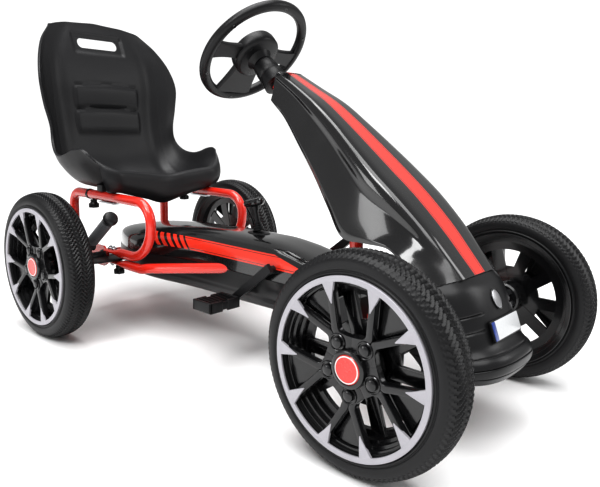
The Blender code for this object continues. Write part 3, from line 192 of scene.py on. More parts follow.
def join(name, objects, smooth=None):
    # one object from several; their materials are kept
    bm = bmesh.new()
    paints = []
    for obj in objects:
        start = len(bm.faces)
        bm.from_mesh(obj.data)
        bm.faces.ensure_lookup_table()
        lookup = []
        for item in obj.data.materials:
            if item not in paints:
                paints.append(item)
            lookup.append(paints.index(item))
        for face in bm.faces[start:]:
            face.material_index = lookup[face.material_index] if lookup else 0
        bpy.data.objects.remove(obj)
    mesh = bpy.data.meshes.new(name)
    bm.to_mesh(mesh)
    bm.free()
    for item in paints:
        mesh.materials.append(item)
    made = inScene(name, mesh)
    return shaded(made, smooth) if smooth else made


def moved(obj, matrix):
    obj.data.transform(matrix)
    if matrix.determinant() < 0:
        obj.data.flip_normals()
    return obj


def copyOf(obj, name, matrix):
    return moved(inScene(name, obj.data.copy()), matrix)


def give(obj, body, slotName, *nodes):
    moved(obj, toFrame)
    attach(obj, body)
    if nodes:
        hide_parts(*nodes)
    return obj


def spline(points, count):
    # evenly spread points on a smooth line through the given ones
    points = np.array(points, float)
    ends = np.concatenate([[2 * points[0] - points[1]], points, [2 * points[-1] - points[-2]]])
    spans = len(points) - 1
    where = np.linspace(0, spans, count)
    index = np.minimum(where.astype(int), spans - 1)
    t = (where - index).reshape([-1] + [1] * (points.ndim - 1))
    a, b, c, d = ends[index], ends[index + 1], ends[index + 2], ends[index + 3]
    return 0.5 * (2 * b + (c - a) * t + (2 * a - 5 * b + 4 * c - d) * t**2 + (3 * b - a - 3 * c + d) * t**3)


def surface(rows, across, along):
    # a dense grid through a coarse one: rows x columns x 3
    rows = np.array(rows, float)
    wide = np.stack([spline(row, across) for row in rows])
    return spline(wide, along)


def gridMesh(name, grid, paint, closeAcross=False, closeAlong=False, smooth=50):
    height, width = grid.shape[:2]
    index = np.arange(height * width).reshape(height, width)
    if closeAlong:
        index = np.vstack([index, index[:1]])
    if closeAcross:
        index = np.hstack([index, index[:, :1]])
    a, b, c, d = index[:-1, :-1], index[1:, :-1], index[1:, 1:], index[:-1, 1:]
    faces = np.stack([a, b, c, d], -1).reshape(-1, 4)
    mesh = bpy.data.meshes.new(name)
    mesh.from_pydata(grid.reshape(-1, 3).tolist(), [], faces.tolist())
    mesh.materials.append(paint)
    return shaded(inScene(name, mesh), smooth)


def cleaned(obj, smooth=40, fill=False):
    # doubles merged, holes closed, faces turned outwards
    bm = bmesh.new()
    bm.from_mesh(obj.data)
    bmesh.ops.remove_doubles(bm, verts=bm.verts, dist=2e-6)
    bmesh.ops.dissolve_degenerate(bm, dist=1e-7, edges=bm.edges[:])
    if fill:
        bmesh.ops.holes_fill(bm, edges=[e for e in bm.edges if e.is_boundary], sides=0)
    bmesh.ops.recalc_face_normals(bm, faces=bm.faces[:])
    bm.to_mesh(obj.data)
    bm.free()
    return shaded(obj, smooth)


def lathe(name, profile, paint, steps=64, smooth=35, closed=False, axis="X"):
    # (radius, height) points turned about an axis
    turns = np.linspace(0, math.tau, steps, endpoint=False)
    profile = np.array(profile, float)
    grid = np.empty((steps, len(profile), 3))
    order = {"X": (0, 1, 2), "Z": (2, 0, 1)}[axis]
    grid[:, :, order[0]] = profile[None, :, 1]
    grid[:, :, order[1]] = profile[None, :, 0] * np.cos(turns)[:, None]
    grid[:, :, order[2]] = profile[None, :, 0] * np.sin(turns)[:, None]
    obj = gridMesh(name, grid, paint, closeAcross=closed, closeAlong=True, smooth=smooth)
    return cleaned(obj, smooth, fill=True)


def rounded(corners, radii, steps=12):
    # a path through the corners, with an arc of its own radius at each inner one
    corners = [Vector(corner) for corner in corners]
    path = [corners[0]]
    for before, corner, after, radius in zip(corners, corners[1:], corners[2:], radii):
        into, out = (before - corner).normalized(), (after - corner).normalized()
        half = into.angle(out) / 2
        centre = corner + (into + out).normalized() * radius / math.sin(half)
        spread = corner + into * radius / math.tan(half) - centre
        for step in range(steps + 1):
            turn = Matrix.Rotation(-(math.pi - 2 * half) * step / steps, 3, into.cross(out))
            path.append(centre + turn @ spread)
    path.append(corners[-1])
    return path


def pipe(name, path, radius, paint, sides=24, squash=None):
    # a tube along a path; squash(share) gives (width, height) factors, with width kept along X
    path = [Vector(p) for p in path]
    lengths = [0]
    for a, b in zip(path, path[1:]):
        lengths.append(lengths[-1] + (b - a).length)
    rings = []
    side = None
    for number, point in enumerate(path):
        ahead = path[min(number + 1, len(path) - 1)] - path[max(number - 1, 0)]
        ahead.normalize()
        if side is None:
            side = Vector((1, 0, 0)) if abs(ahead.x) < 0.9 else Vector((0, 0, 1))
        side = (side - ahead * side.dot(ahead)).normalized()
        up = ahead.cross(side)
        wide, high = squash(lengths[number] / lengths[-1]) if squash else (1, 1)
        rings.append([
            point + side * radius * wide * math.cos(t) + up * radius * high * math.sin(t)
            for t in (math.tau * s / sides for s in range(sides))
        ])
    bm = bmesh.new()
    loops = [[bm.verts.new(p) for p in ring] for ring in rings]
    for first, second in zip(loops, loops[1:]):
        for s in range(sides):
            bm.faces.new((first[s], second[s], second[(s + 1) % sides], first[(s + 1) % sides]))
    bm.faces.new(loops[0])
    bm.faces.new(loops[-1])
    return makeObject(name, bm, paint, 40)


def slab(name, outline, low, high, paint, axis="X", bevel=0.0006, segments=2):
    # a flat plate from an outline, with its edges rounded
    lift = {"X": lambda a, b, h: (h, a, b), "Y": lambda a, b, h: (a, h, b), "Z": lambda a, b, h: (a, b, h)}[axis]
    bm = bmesh.new()
    bottom = [bm.verts.new(lift(a, b, low)) for a, b in outline]
    top = [bm.verts.new(lift(a, b, high)) for a, b in outline]
    bm.faces.new(bottom)
    bm.faces.new(top)
    for i in range(len(outline)):
        j = (i + 1) % len(outline)
        bm.faces.new((bottom[i], bottom[j], top[j], top[i]))
    bmesh.ops.recalc_face_normals(bm, faces=bm.faces[:])
    obj = makeObject(name, bm, paint)
    if bevel:
        addModifier(obj, "BEVEL", width=bevel, segments=segments, limit_method="ANGLE", angle_limit=math.radians(30))
        shaded(bake(obj), 30)
    return obj


def oblong(half, tall, top, low=None, steps=7):
    # the outline of a plate with rounded corners; low is the radius of the lower two
    points = []
    for cx, cz, start in ((1, 1, 0), (-1, 1, 90), (-1, -1, 180), (1, -1, 270)):
        corner = top if cz > 0 or low is None else low
        for step in range(steps):
            turn = math.radians(start + 90 * step / (steps - 1))
            points.append((cx * (half - corner) + corner * math.cos(turn),
                           cz * (tall - corner) + corner * math.sin(turn)))
    return points


def roundedBox(name, low, high, paint, bevel=0.002, segments=3):
    (x0, y0, z0), (x1, y1, z1) = low, high
    return slab(name, [(x0, y0), (x1, y0), (x1, y1), (x0, y1)], z0, z1, paint, "Z", bevel, segments)


def nodeTree(name, inputs):
    tree = bpy.data.node_groups.new(name, "GeometryNodeTree")
    tree.interface.new_socket("Geometry", in_out="INPUT", socket_type="NodeSocketGeometry")
    tree.interface.new_socket("Geometry", in_out="OUTPUT", socket_type="NodeSocketGeometry")
    for label, kind, value in inputs:
        socket = tree.interface.new_socket(label, in_out="INPUT", socket_type="NodeSocket" + kind)
        if value is not None:
            socket.default_value = value
    return tree, tree.nodes.new("NodeGroupInput"), tree.nodes.new("NodeGroupOutput")


def joinUp(tree, pairs):
    for source, target in pairs:
        tree.links.new(source, target)


def placeCopies(tree, start, end, points, rotation, spin=None):
    # the piece on every point, made real, in its paint
    new = tree.nodes.new
    info, instance = new("GeometryNodeObjectInfo"), new("GeometryNodeInstanceOnPoints")
    real, paint = new("GeometryNodeRealizeInstances"), new("GeometryNodeSetMaterial")
    copies = instance.outputs[0]
    if spin:
        joinUp(tree, [(copies, spin.inputs["Geometry"])])
        copies = spin.outputs[0]
    joinUp(tree, [
        (start.outputs["Piece"], info.inputs["Object"]), (points, instance.inputs["Points"]),
        (info.outputs["Geometry"], instance.inputs["Instance"]), (rotation, instance.inputs["Rotation"]),
        (copies, real.inputs[0]), (real.outputs[0], paint.inputs["Geometry"]),
        (start.outputs["Paint"], paint.inputs["Material"]), (paint.outputs[0], end.inputs[0]),
    ])
    return tree


def ringTree():
    # copies of a small piece round a circle, each turned to face outwards
    tree, start, end = nodeTree("piecesRoundARing", [
        ("Piece", "Object", None), ("Count", "Int", 5), ("Radius", "Float", 0.04),
        ("Phase", "Float", 0.0), ("Paint", "Material", None),
    ])
    new = tree.nodes.new
    circle, place = new("GeometryNodeMeshCircle"), new("GeometryNodeInputPosition")
    align, angles, turn = (
        new("FunctionNodeAlignRotationToVector"), new("ShaderNodeCombineXYZ"), new("GeometryNodeTransform")
    )
    align.axis = "X"
    joinUp(tree, [
        (start.outputs["Count"], circle.inputs["Vertices"]), (start.outputs["Radius"], circle.inputs["Radius"]),
        (place.outputs[0], align.inputs["Vector"]), (start.outputs["Phase"], angles.inputs["Z"]),
        (angles.outputs[0], turn.inputs["Rotation"]),
    ])
    return placeCopies(tree, start, end, circle.outputs[0], align.outputs[0], turn)


def lineTree():
    # copies of a small piece at even steps along the object's own curve, turned along it
    tree, start, end = nodeTree("piecesAlongALine", [
        ("Piece", "Object", None), ("Count", "Int", 8), ("Paint", "Material", None),
    ])
    spread = tree.nodes.new("GeometryNodeCurveToPoints")
    joinUp(tree, [
        (start.outputs["Geometry"], spread.inputs["Curve"]), (start.outputs["Count"], spread.inputs["Count"]),
    ])
    return placeCopies(tree, start, end, spread.outputs["Points"], spread.outputs["Rotation"])


ringPieces, linePieces = ringTree(), lineTree()


def runNodes(name, carrier, tree, values, keep=False):
    modifier = carrier.modifiers.new("Pieces", "NODES")
    modifier.node_group = tree
    for item in tree.interface.items_tree:
        if item.in_out == "INPUT" and item.name in values:
            modifier[item.identifier] = values[item.name]
    graph = bpy.context.evaluated_depsgraph_get()
    mesh = bpy.data.meshes.new_from_object(carrier.evaluated_get(graph))
    bpy.data.objects.remove(carrier)
    if not keep:
        bpy.data.objects.remove(values["Piece"])
    return inScene(name, mesh)


def around(name, piece, count, radius, paint, phase=0.0, keep=False):
    # the ring lies in the XY plane
    carrier = inScene(name + "Carrier", bpy.data.meshes.new(name + "Carrier"))
    values = {"Piece": piece, "Count": count, "Radius": radius, "Phase": phase, "Paint": paint}
    return runNodes(name, carrier, ringPieces, values, keep)


def lineUp(name, piece, count, path, paint):
    # each copy's own Z follows the path
    curve = bpy.data.curves.new(name + "Line", "CURVE")
    curve.dimensions = "3D"
    strand = curve.splines.new("POLY")
    strand.points.add(len(path) - 1)
    for point, place in zip(strand.points, path):
        point.co = (*place, 1)
    carrier = inScene(name + "Carrier", curve)
    return runNodes(name, carrier, linePieces, {"Piece": piece, "Count": count, "Paint": paint})


print("helpers ready")


def finish(name, dark, light, low, high, grain=700, bump=0.05, depth=0.0002, patch=12, metal=0.0,
           coat=0.0, coatRough=0.08, fleck=0.3, specular=0.5):
    # a moulded or painted surface: slow patches of colour and gloss, a fine grain, and its bump
    paint = Paint(bpy.data.materials.new(name))
    patches, fine = paint.noise(patch, 4), paint.noise(grain, 2, 0.6)
    base = paint.mix(patches, dark, light)
    shaded = paint.mix(fine * fleck, base, tuple(part * 0.55 for part in dark))
    return paint.done(
        baseColor=shaded, roughness=patches * (high - low) + low + (fine - 0.5) * 0.08, metallic=metal,
        coatWeight=coat, coatRoughness=coatRough, specularLevel=specular, normal=paint.bump(fine, bump, depth),
    )


redPaint = finish("redPaint", (0.66, 0.024, 0.012), (0.80, 0.040, 0.020), 0.20, 0.30, 240, 0.04, 0.0002, 9,
                  coat=0.9, coatRough=0.06, fleck=0.10)
glossBlack = finish("glossBlack", (0.0025, 0.0025, 0.003), (0.005, 0.005, 0.006), 0.10, 0.20, 160, 0.03, 0.0002, 6,
                    coat=1.0, coatRough=0.04, fleck=0.2)
satinBlack = finish("satinBlack", (0.006, 0.006, 0.007), (0.011, 0.011, 0.012), 0.32, 0.44, 1400, 0.12, 0.0002,
                    specular=0.4)
bumperBlack = finish("bumperBlack", (0.009, 0.009, 0.010), (0.015, 0.015, 0.016), 0.28, 0.38, 1500, 0.10, 0.0002,
                     specular=0.45)
seatBlack = finish("seatBlack", (0.011, 0.011, 0.012), (0.018, 0.018, 0.020), 0.36, 0.48, 1300, 0.20, 0.00025, 7,
                   specular=0.42)
rimDark = finish("rimDark", (0.007, 0.007, 0.008), (0.012, 0.012, 0.013), 0.18, 0.28, 900, 0.05, 0.0001, coat=0.4,
                 coatRough=0.1)
rimBlack = finish("rimBlack", (0.003, 0.003, 0.0035), (0.006, 0.006, 0.007), 0.16, 0.26, 500, 0.04, 0.0001, coat=0.6)
rimSilver = finish("rimSilver", (0.42, 0.41, 0.44), (0.52, 0.51, 0.54), 0.40, 0.52, 2600, 0.10, 0.0001, 30,
                   metal=0.25, fleck=0.4)
foamTyre = finish("foamTyre", (0.008, 0.008, 0.009), (0.014, 0.014, 0.015), 0.34, 0.48, 1100, 0.18, 0.0003, 22,
                  specular=0.4)
capRed = finish("capRed", (0.62, 0.030, 0.024), (0.72, 0.042, 0.032), 0.22, 0.30, 300, 0.02, 0.0001, coat=0.8)
capWhite = finish("capWhite", (0.72, 0.70, 0.69), (0.80, 0.79, 0.78), 0.25, 0.34, 300, 0.02, 0.0001, coat=0.5)
zincSteel = finish("zincSteel", (0.46, 0.47, 0.49), (0.62, 0.63, 0.65), 0.24, 0.42, 900, 0.10, 0.0001, 60, metal=1.0,
                   fleck=0.15)
darkSteel = finish("darkSteel", (0.011, 0.011, 0.012), (0.018, 0.018, 0.020), 0.34, 0.48, 800, 0.10, 0.0002, 20,
                   metal=0.35)
nylonBlack = finish("nylonBlack", (0.012, 0.012, 0.013), (0.018, 0.018, 0.020), 0.45, 0.58, 900, 0.10, 0.0002)
gripGrey = finish("gripGrey", (0.080, 0.083, 0.088), (0.115, 0.118, 0.124), 0.48, 0.60, 1200, 0.22, 0.0002)
plateWhite = finish("plateWhite", (0.66, 0.67, 0.68), (0.74, 0.75, 0.76), 0.25, 0.34, 400, 0.02, 0.0001, coat=0.4)
plateBlue = finish("plateBlue", (0.012, 0.045, 0.25), (0.018, 0.060, 0.32), 0.25, 0.34, 400, 0.02, 0.0001, coat=0.4)
badgeSilver = finish("badgeSilver", (0.36, 0.36, 0.37), (0.48, 0.48, 0.49), 0.26, 0.38, 500, 0.05, 0.0001, metal=0.6)


def stripedFairing():
    # gloss black with a red band along the ridge, a thin dark line inside each of its edges
    paint = Paint(bpy.data.materials.new("stripedFairing"))
    x, y, z = paint.axes()
    width = 0.05
    stops = [(0.0, 0.0165 / width), (0.155, 0.0205 / width), (0.375, 0.0225 / width), (0.60, 0.0195 / width),
             (0.80, 0.0150 / width), (0.93, 0.0115 / width)]
    half = paint.node(
        "ShaderNodeValToRGB", {"stops": stops}, {0: (y - (moveY - 0.47)) / 0.45}
    )[0] * width
    off = abs(x)
    along = y > (moveY - 0.4605)
    band = (off < half) * along * (z > 0.20)
    line = (off > (half - 0.0046)) * (off < (half - 0.0032))
    red = band * (1 - line)
    patches, fine = paint.noise(6, 4), paint.noise(160, 2)
    black = paint.mix(patches, (0.0045, 0.0045, 0.005), (0.009, 0.009, 0.010))
    tint = paint.mix(patches, (0.66, 0.026, 0.014), (0.80, 0.045, 0.025))
    return paint.done(
        baseColor=paint.mix(red, black, tint), roughness=patches * 0.1 + 0.12 + red * 0.08, coatWeight=1.0,
        coatRoughness=0.05, normal=paint.bump(fine, 0.03, 0.0002),
    )


def stripedCasing():
    # gloss black with a red side band, five slanted bars behind it and a thin dark line near each edge
    paint = Paint(bpy.data.materials.new("stripedCasing"))
    x, y, z = paint.axes()
    back = y - moveY - (z - 0.217) * 0.95
    side = abs(x) > 0.055
    high = (z > 0.2035) * (z < 0.2300)
    nose = 0.2300 - (-0.085 - back).math("MAXIMUM", 0.0) * 0.30
    body = (back > -0.142) * (back < 0.180) * (z < nose)
    stripe = ((back - 0.186) / 0.0195).fraction()
    bars = (back > 0.186) * (back < 0.2835) * (stripe < 0.58)
    lines = (z > 0.2068) * (z < 0.2078) + (z > 0.2262) * (z < 0.2272)
    red = ((body * (1 - lines)) + bars).math("MINIMUM", 1.0) * high * side
    patches, fine = paint.noise(6, 4), paint.noise(160, 2)
    black = paint.mix(patches, (0.0045, 0.0045, 0.005), (0.010, 0.010, 0.011))
    tint = paint.mix(patches, (0.64, 0.030, 0.012), (0.78, 0.050, 0.022))
    return paint.done(
        baseColor=paint.mix(red, black, tint), roughness=patches * 0.1 + 0.12 + red * 0.1, coatWeight=1.0,
        coatRoughness=0.05, normal=paint.bump(fine, 0.03, 0.0002),
    )


fairingPaint, casingPaint = stripedFairing(), stripedCasing()
print("finishes ready")


wheelSize = {
    "radius": 0.159, "treads": 112, "perTread": 6, "grooveDepth": 0.0030, "spokes": 5,
    "prongHalf": 0.0056, "toothTip": 0.0900, "depth": 0.0105, "capRadius": 0.0205, "nutRing": 0.0385,
    "webHalf": 0.0110, "backNutRing": 0.0195,
}


def dish(radius):
    # height of the rim's face: a shallow bowl inside the silver ring
    return 0.0328 - 0.0075 * max(0.0, min(1.0, (0.119 - radius) / 0.075)) ** 1.2


def makeTyre():
    size = wheelSize
    side = [
        (0.1165, 0.0272), (0.1275, 0.0274), (0.1280, 0.0300), (0.1288, 0.0313), (0.1301, 0.0318), (0.1313, 0.0312),
        (0.1321, 0.0294), (0.1333, 0.0292), (0.1343, 0.0303), (0.1368, 0.0309), (0.1415, 0.0306), (0.1455, 0.0294),
        (0.1470, 0.0288), (0.1482, 0.0283), (0.1494, 0.0277), (0.1518, 0.0258), (0.1543, 0.0230), (0.1560, 0.0200),
    ]
    crown = [(size["radius"] - 0.0027 * (x / 0.0185) ** 2, x) for x in np.linspace(0.0185, -0.0185, 19)]
    profile = np.array(side + crown + [(r, -x) for r, x in reversed(side)])
    radius, across = profile[:, 0], profile[:, 1]
    steps = size["treads"] * size["perTread"]
    turn = np.arange(steps)[:, None] * math.tau / steps
    tread = np.clip((radius - 0.1500) / 0.003, 0, 1)[None, :]
    zigzag = np.abs((across / 0.0125 + 0.5) % 2 - 1)[None, :] * 1.6
    phase = (turn * size["treads"] / math.tau + zigzag) % 1
    groove = np.clip(1.9 - np.abs(phase - 0.5) * 6.6, 0, 1) * tread
    rings = np.exp(-(((np.abs(across) - 0.0185) / 0.0009) ** 2)) + np.exp(-((across / 0.0010) ** 2))
    dots = (np.abs(radius - 0.1482) < 0.0008)[None, :] * (np.abs(phase - 0.5) < 0.26)
    grid = np.empty((steps, len(profile), 3))
    reach = radius[None, :] - size["grooveDepth"] * np.maximum(groove, 0.8 * rings[None, :] * tread)
    grid[:, :, 0] = across[None, :] - np.sign(across)[None, :] * dots * 0.0009
    grid[:, :, 1] = reach * np.cos(turn)
    grid[:, :, 2] = reach * np.sin(turn)
    obj = gridMesh("tyre", grid, foamTyre, closeAcross=True, closeAlong=True, smooth=60)
    return cleaned(obj, 50)


def polarBar(bm, radii, low, high, top, depth, edge):
    # a bar on the wheel's face between two angles that change with the radius; its upper edges are rounded
    loops = []
    for r in radii:
        a, b = low(r), high(r)
        lip = min(edge(r), (b - a) * r * 0.3) / r
        angles = [a, a, a + 0.3 * lip, a + lip, (a + b) / 2, b - lip, b - 0.3 * lip, b, b]
        drops = [depth, lip * r, 0.3 * lip * r, 0, 0, 0, 0.3 * lip * r, lip * r, depth]
        loops.append([
            bm.verts.new((top(r) - drop, r * math.sin(angle), -r * math.cos(angle)))
            for angle, drop in zip(angles, drops)
        ])
    for first, second in zip(loops, loops[1:]):
        for i in range(len(first)):
            j = (i + 1) % len(first)
            bm.faces.new((first[i], first[j], second[j], second[i]))
    bm.faces.new(loops[0])
    bm.faces.new(loops[-1])


def makeRim():
    size = wheelSize
    prong = size["prongHalf"]
    pieces = []
    fifth = math.tau / size["spokes"]

    def offset(r):
        return max(0.0, prong + 0.505 * (r - 0.055))

    def opening(r, start, length=0.013):
        share = min(1.0, max(0.0, (r - start) / length))
        return math.sqrt(1 - (1 - share) ** 2)

    def small(r):
        return max(0.0, math.asin(min(0.99, offset(r) / r)) - prong / r) * opening(r, 0.0565)

    def large(r):
        return max(0.0, fifth / 2 - math.asin(min(0.99, offset(r) / r)) - prong / r) * opening(r, 0.0440)

    def edge(r):
        return 0.0022 * min(1.0, 6 * max(0.02, min(1, large(r) + small(r))))

    inner = np.concatenate([np.linspace(0.0280, 0.0720, 24), np.linspace(0.0750, 0.1200, 14)])
    face, webs, teeth = bmesh.new(), bmesh.new(), bmesh.new()
    for spoke in range(size["spokes"]):
        turn = spoke * fifth
        polarBar(face, inner, lambda r: turn + small(r), lambda r: turn + fifth / 2 - large(r), dish,
                 size["depth"], edge)
        polarBar(face, inner, lambda r: turn - fifth / 2 + large(r), lambda r: turn - small(r), dish,
                 size["depth"], edge)
        web = np.linspace(0.058, 0.112, 8)
        polarBar(
            webs, web, lambda r: turn - small(r) - 0.02, lambda r: turn + small(r) + 0.02,
            lambda r: dish(r) - 0.014, 0.0025, lambda r: 0.0002,
        )
        for way in (-1, 1):
            tooth = np.linspace(size["toothTip"], 0.1200, 10)

            def middle(r):
                return turn + way * math.radians(18 - 2.2 * (0.12 - r) / 0.03)

            def half(r):
                return (0.0007 + 0.0096 * ((r - size["toothTip"]) / 0.030) ** 1.05) / r

            polarBar(
                teeth, tooth, lambda r: middle(r) - half(r), lambda r: middle(r) + half(r),
                lambda r: dish(r) + 0.0012, 0.004, lambda r: 0.0004,
            )
    back = np.linspace(0.0270, 0.1000, 10)
    for number in range(2 * size["spokes"]):
        turn = (number + 0.5) * fifth / 2
        polarBar(webs, back, lambda r: turn - size["webHalf"] / r, lambda r: turn + size["webHalf"] / r,
                 lambda r: -0.0045, 0.0060, lambda r: 0.0010)
    for name, bm, paint in (("spider", face, rimDark), ("webs", webs, rimBlack), ("teeth", teeth, rimSilver)):
        pieces.append(makeObject(name, bm, paint, 34))
    pieces.append(lathe("ring", [
        (0.1186, 0.0300), (0.1186, 0.0337), (0.1190, 0.0341), (0.1263, 0.0341), (0.1269, 0.0336), (0.1269, 0.0285),
        (0.1200, 0.0285),
    ], rimSilver, 120, closed=True))
    pieces.append(lathe("barrel", [
        (0.1195, 0.0330), (0.1180, 0.0300), (0.1178, 0.0225), (0.1142, 0.0215), (0.1136, 0.0150), (0.1096, 0.0140),
        (0.1088, 0.0060), (0.1046, 0.0050), (0.1036, -0.0040), (0.0950, -0.0060), (0.0935, -0.0120),
        (0.1085, -0.0130), (0.1100, -0.0220),
        (0.1170, -0.0270), (0.1255, -0.0325), (0.1269, -0.0320), (0.1269, -0.0285), (0.1190, -0.0265),
        (0.1172, -0.0240), (0.1172, 0.0240), (0.1190, 0.0265), (0.1255, 0.0290), (0.1255, 0.0325),
    ], rimDark, 120, closed=True))
    pieces.append(lathe("webRing", [
        (0.0290, -0.0050), (0.0600, -0.0050), (0.0610, -0.0060), (0.0610, -0.0095), (0.0290, -0.0095),
    ], rimBlack, 80, closed=True))
    pieces.append(lathe("hub", [
        (0.0082, -0.0300), (0.0270, -0.0300), (0.0300, -0.0270), (0.0300, -0.0040), (0.0420, 0.0040),
        (0.0420, 0.0140), (0.0290, 0.0140), (0.0290, 0.0240), (0.0082, 0.0240),
    ], rimDark, 64, closed=True))
    pieces.append(lathe("cup", [
        (0.0, 0.0296), (0.0207, 0.0296), (0.0208, 0.0330), (0.0216, 0.0336), (0.0252, 0.0334), (0.0268, 0.0322),
        (0.0276, 0.0295), (0.0282, 0.0235), (0.0, 0.0235),
    ], rimBlack, 64))
    stand = Matrix(((0, 0, 1, 0), (0, 1, 0, 0), (-1, 0, 0, 0), (0, 0, 0, 1)))
    floor = dish(size["nutRing"])
    recess = lathe("recess", [
        (0.0, -0.002), (0.0, 0.0004), (0.0098, 0.0004), (0.0104, 0.0022), (0.0118, 0.0026), (0.0128, 0.0016),
        (0.0130, -0.002),
    ], rimBlack, 28, axis="Z")
    nut = lathe("nut", [
        (0.0, 0.0002), (0.0080, 0.0002), (0.0084, 0.0030), (0.0080, 0.0042), (0.0066, 0.0052), (0.0, 0.0056),
    ], rimDark, 20, axis="Z")
    for piece, paint in ((recess, rimBlack), (nut, rimDark)):
        piece.data.transform(Matrix.Translation((0, 0, floor)))
        made = around(piece.name + "Ring", piece, size["spokes"], size["nutRing"], paint)
        pieces.append(moved(made, stand))
    backNut = lathe("backNut", [(0.0, -0.0004), (0.0, 0.0040), (0.0040, 0.0040), (0.0052, 0.0030), (0.0052, -0.0004)],
                    zincSteel, 6, 20, axis="Z")
    backNut.data.transform(Matrix.Translation((0, 0, -0.0342)))
    pieces.append(moved(around("backNuts", backNut, size["spokes"], size["backNutRing"], zincSteel), stand))
    return join("rim", pieces)


def makeCap():
    radius = wheelSize["capRadius"]
    disc = lathe("disc", [
        (0.0, 0.0300), (radius, 0.0300), (radius, 0.0328), (radius - 0.0012, 0.0340), (radius - 0.0030, 0.0343),
        (radius - 0.0050, 0.0341), (0.0, 0.0346),
    ], capRed, 64)
    line = lathe("line", [
        (radius - 0.0030, 0.0338), (radius - 0.0030, 0.0346), (radius - 0.0014, 0.03445), (radius - 0.0012, 0.0338),
    ], capWhite, 64, closed=True)
    return join("cap", [disc, line])


def makeWheels():
    tyre, rim, cap = makeTyre(), makeRim(), makeCap()
    for end, axle in (("front", frontAxle), ("rear", rearAxle)):
        for side, sign in (("right", -1), ("left", 1)):
            body = f"{end}_wheel_{side}"
            if end == "rear" and side == "right":
                body = "rear_axle_unit"
            place = Matrix.Translation((sign * axle["track"] / 2, axle["y"], axle["z"]))
            if sign < 0:
                place = place @ Matrix.Rotation(math.pi, 4, "Z")
            for source, part, slotName in (
                (tyre, "tyre", "foam_tyre"), (rim, "rim", "rim_black"), (cap, "cap", "cap_red")
            ):
                node = f"{end}_{part}_{side}"
                name = f"{end}{part.title()}{side.title()}"
                give(copyOf(source, name, place), body, slotName, node)
    for source in (tyre, rim, cap):
        bpy.data.objects.remove(source)


makeWheels()
print("wheels made")


# the wheel's own Z points at the driver
lean = math.radians(46.06)
steeringPlace = Matrix((
    (1, 0, 0, 0), (0, math.cos(lean), math.sin(lean), 0.0523), (0, -math.sin(lean), math.cos(lean), 0.6141),
    (0, 0, 0, 1),
))
steeringSize = {"radius": 0.1214, "grip": 0.0108, "screws": 6}


def makeSteeringWheel():
    size = steeringSize
    ring = size["radius"] - size["grip"]
    turns, facets = 144, 22
    a = np.arange(turns)[:, None] * math.tau / turns
    b = np.arange(facets)[None, :] * math.tau / facets
    side = np.exp(-((np.abs(np.cos(a)) - 1) / 0.08) ** 2)
    thick = size["grip"] * (0.93 + 0.07 * np.cos(3 * a - math.pi / 2) * 0.4 + 0.03 * side)
    seam = 1 - 0.035 * np.exp(-((np.sin(b)) / 0.06) ** 2)
    reach = ring + thick * np.cos(b) * seam
    grid = np.stack([reach * np.cos(a), reach * np.sin(a), thick * np.sin(b) * seam + 0 * a], -1)
    pieces = [cleaned(gridMesh("hoop", grid, satinBlack, True, True, 60), 60)]

    def spoke(name, rows):
        # rows of (centre x, centre y, half width, across direction, z low, z high)
        bm = bmesh.new()
        loops = []
        for cx, cy, half, (dx, dy), low, high in rows:
            section = [(-1, low + 0.003), (-0.92, low), (0.92, low), (1, low + 0.003), (1, high - 0.003),
                       (0.9, high), (0.45, high - 0.0016), (-0.45, high - 0.0016), (-0.9, high), (-1, high - 0.003)]
            loops.append([bm.verts.new((cx + dx * half * s, cy + dy * half * s, z)) for s, z in section])
        for first, second in zip(loops, loops[1:]):
            for i in range(10):
                j = (i + 1) % 10
                bm.faces.new((first[i], first[j], second[j], second[i]))
        bm.faces.new(loops[0])
        bm.faces.new(loops[-1])
        pieces.append(makeObject(name, bm, satinBlack, 35))

    for sign in (-1, 1):
        steps = np.linspace(0.018, 0.112, 14)
        spoke("sideSpoke", [
            (sign * r, -0.002 + 0.004 * t, 0.0145 + 0.008 * abs(2 * t - 1) ** 2.2, (0, 1),
             -0.0095 + 0.002 * t, 0.0045 - 0.002 * t)
            for r, t in ((r, (r - 0.018) / 0.094) for r in steps)
        ])
    steps = np.linspace(0.018, 0.099, 14)
    spoke("lowerSpoke", [
        (0, r, 0.0300 + 0.024 * t**1.6, (1, 0), -0.0095 + 0.002 * t, 0.0045 - 0.002 * t)
        for r, t in ((r, (r - 0.018) / 0.094) for r in steps)
    ])
    pieces.append(lathe("boss", [
        (0.0, -0.0340), (0.0150, -0.0340), (0.0190, -0.0325), (0.0225, -0.0250), (0.0260, -0.0205),
        (0.0400, -0.0185), (0.0450, -0.0165), (0.0480, -0.0120), (0.0485, -0.0040), (0.0485, 0.0030),
        (0.0470, 0.0085), (0.0450, 0.0095), (0.0445, 0.0088), (0.0435, 0.0100), (0.0380, 0.0145), (0.0280, 0.0185), (0.0150, 0.0205), (0.0, 0.0210),
    ], satinBlack, 72, axis="Z"))
    screw = lathe("screw", [
        (0.0, -0.0003), (0.0016, -0.0003), (0.0018, 0.0003), (0.0032, 0.0003), (0.0034, 0.0), (0.0034, -0.0015),
        (0.0, -0.0015),
    ], rimBlack, 18, axis="Z")
    flip = Matrix.Rotation(math.pi, 4, "X")
    for count, radius, depth, phase in ((size["screws"], ring, size["grip"] * 0.95, 0.52), (3, 0.0360, 0.0189, 0.52)):
        screw.data.transform(Matrix.Translation((0, 0, depth)))
        made = around(f"screws{count}", screw, count, radius, rimBlack, phase, keep=True)
        screw.data.transform(Matrix.Translation((0, 0, -depth)))
        pieces.append(moved(made, flip))
    bpy.data.objects.remove(screw)
    wheel = moved(join("steeringWheelBody", pieces), steeringPlace)
    give(wheel, "steering_unit", "satin_black", "steering_wheel")


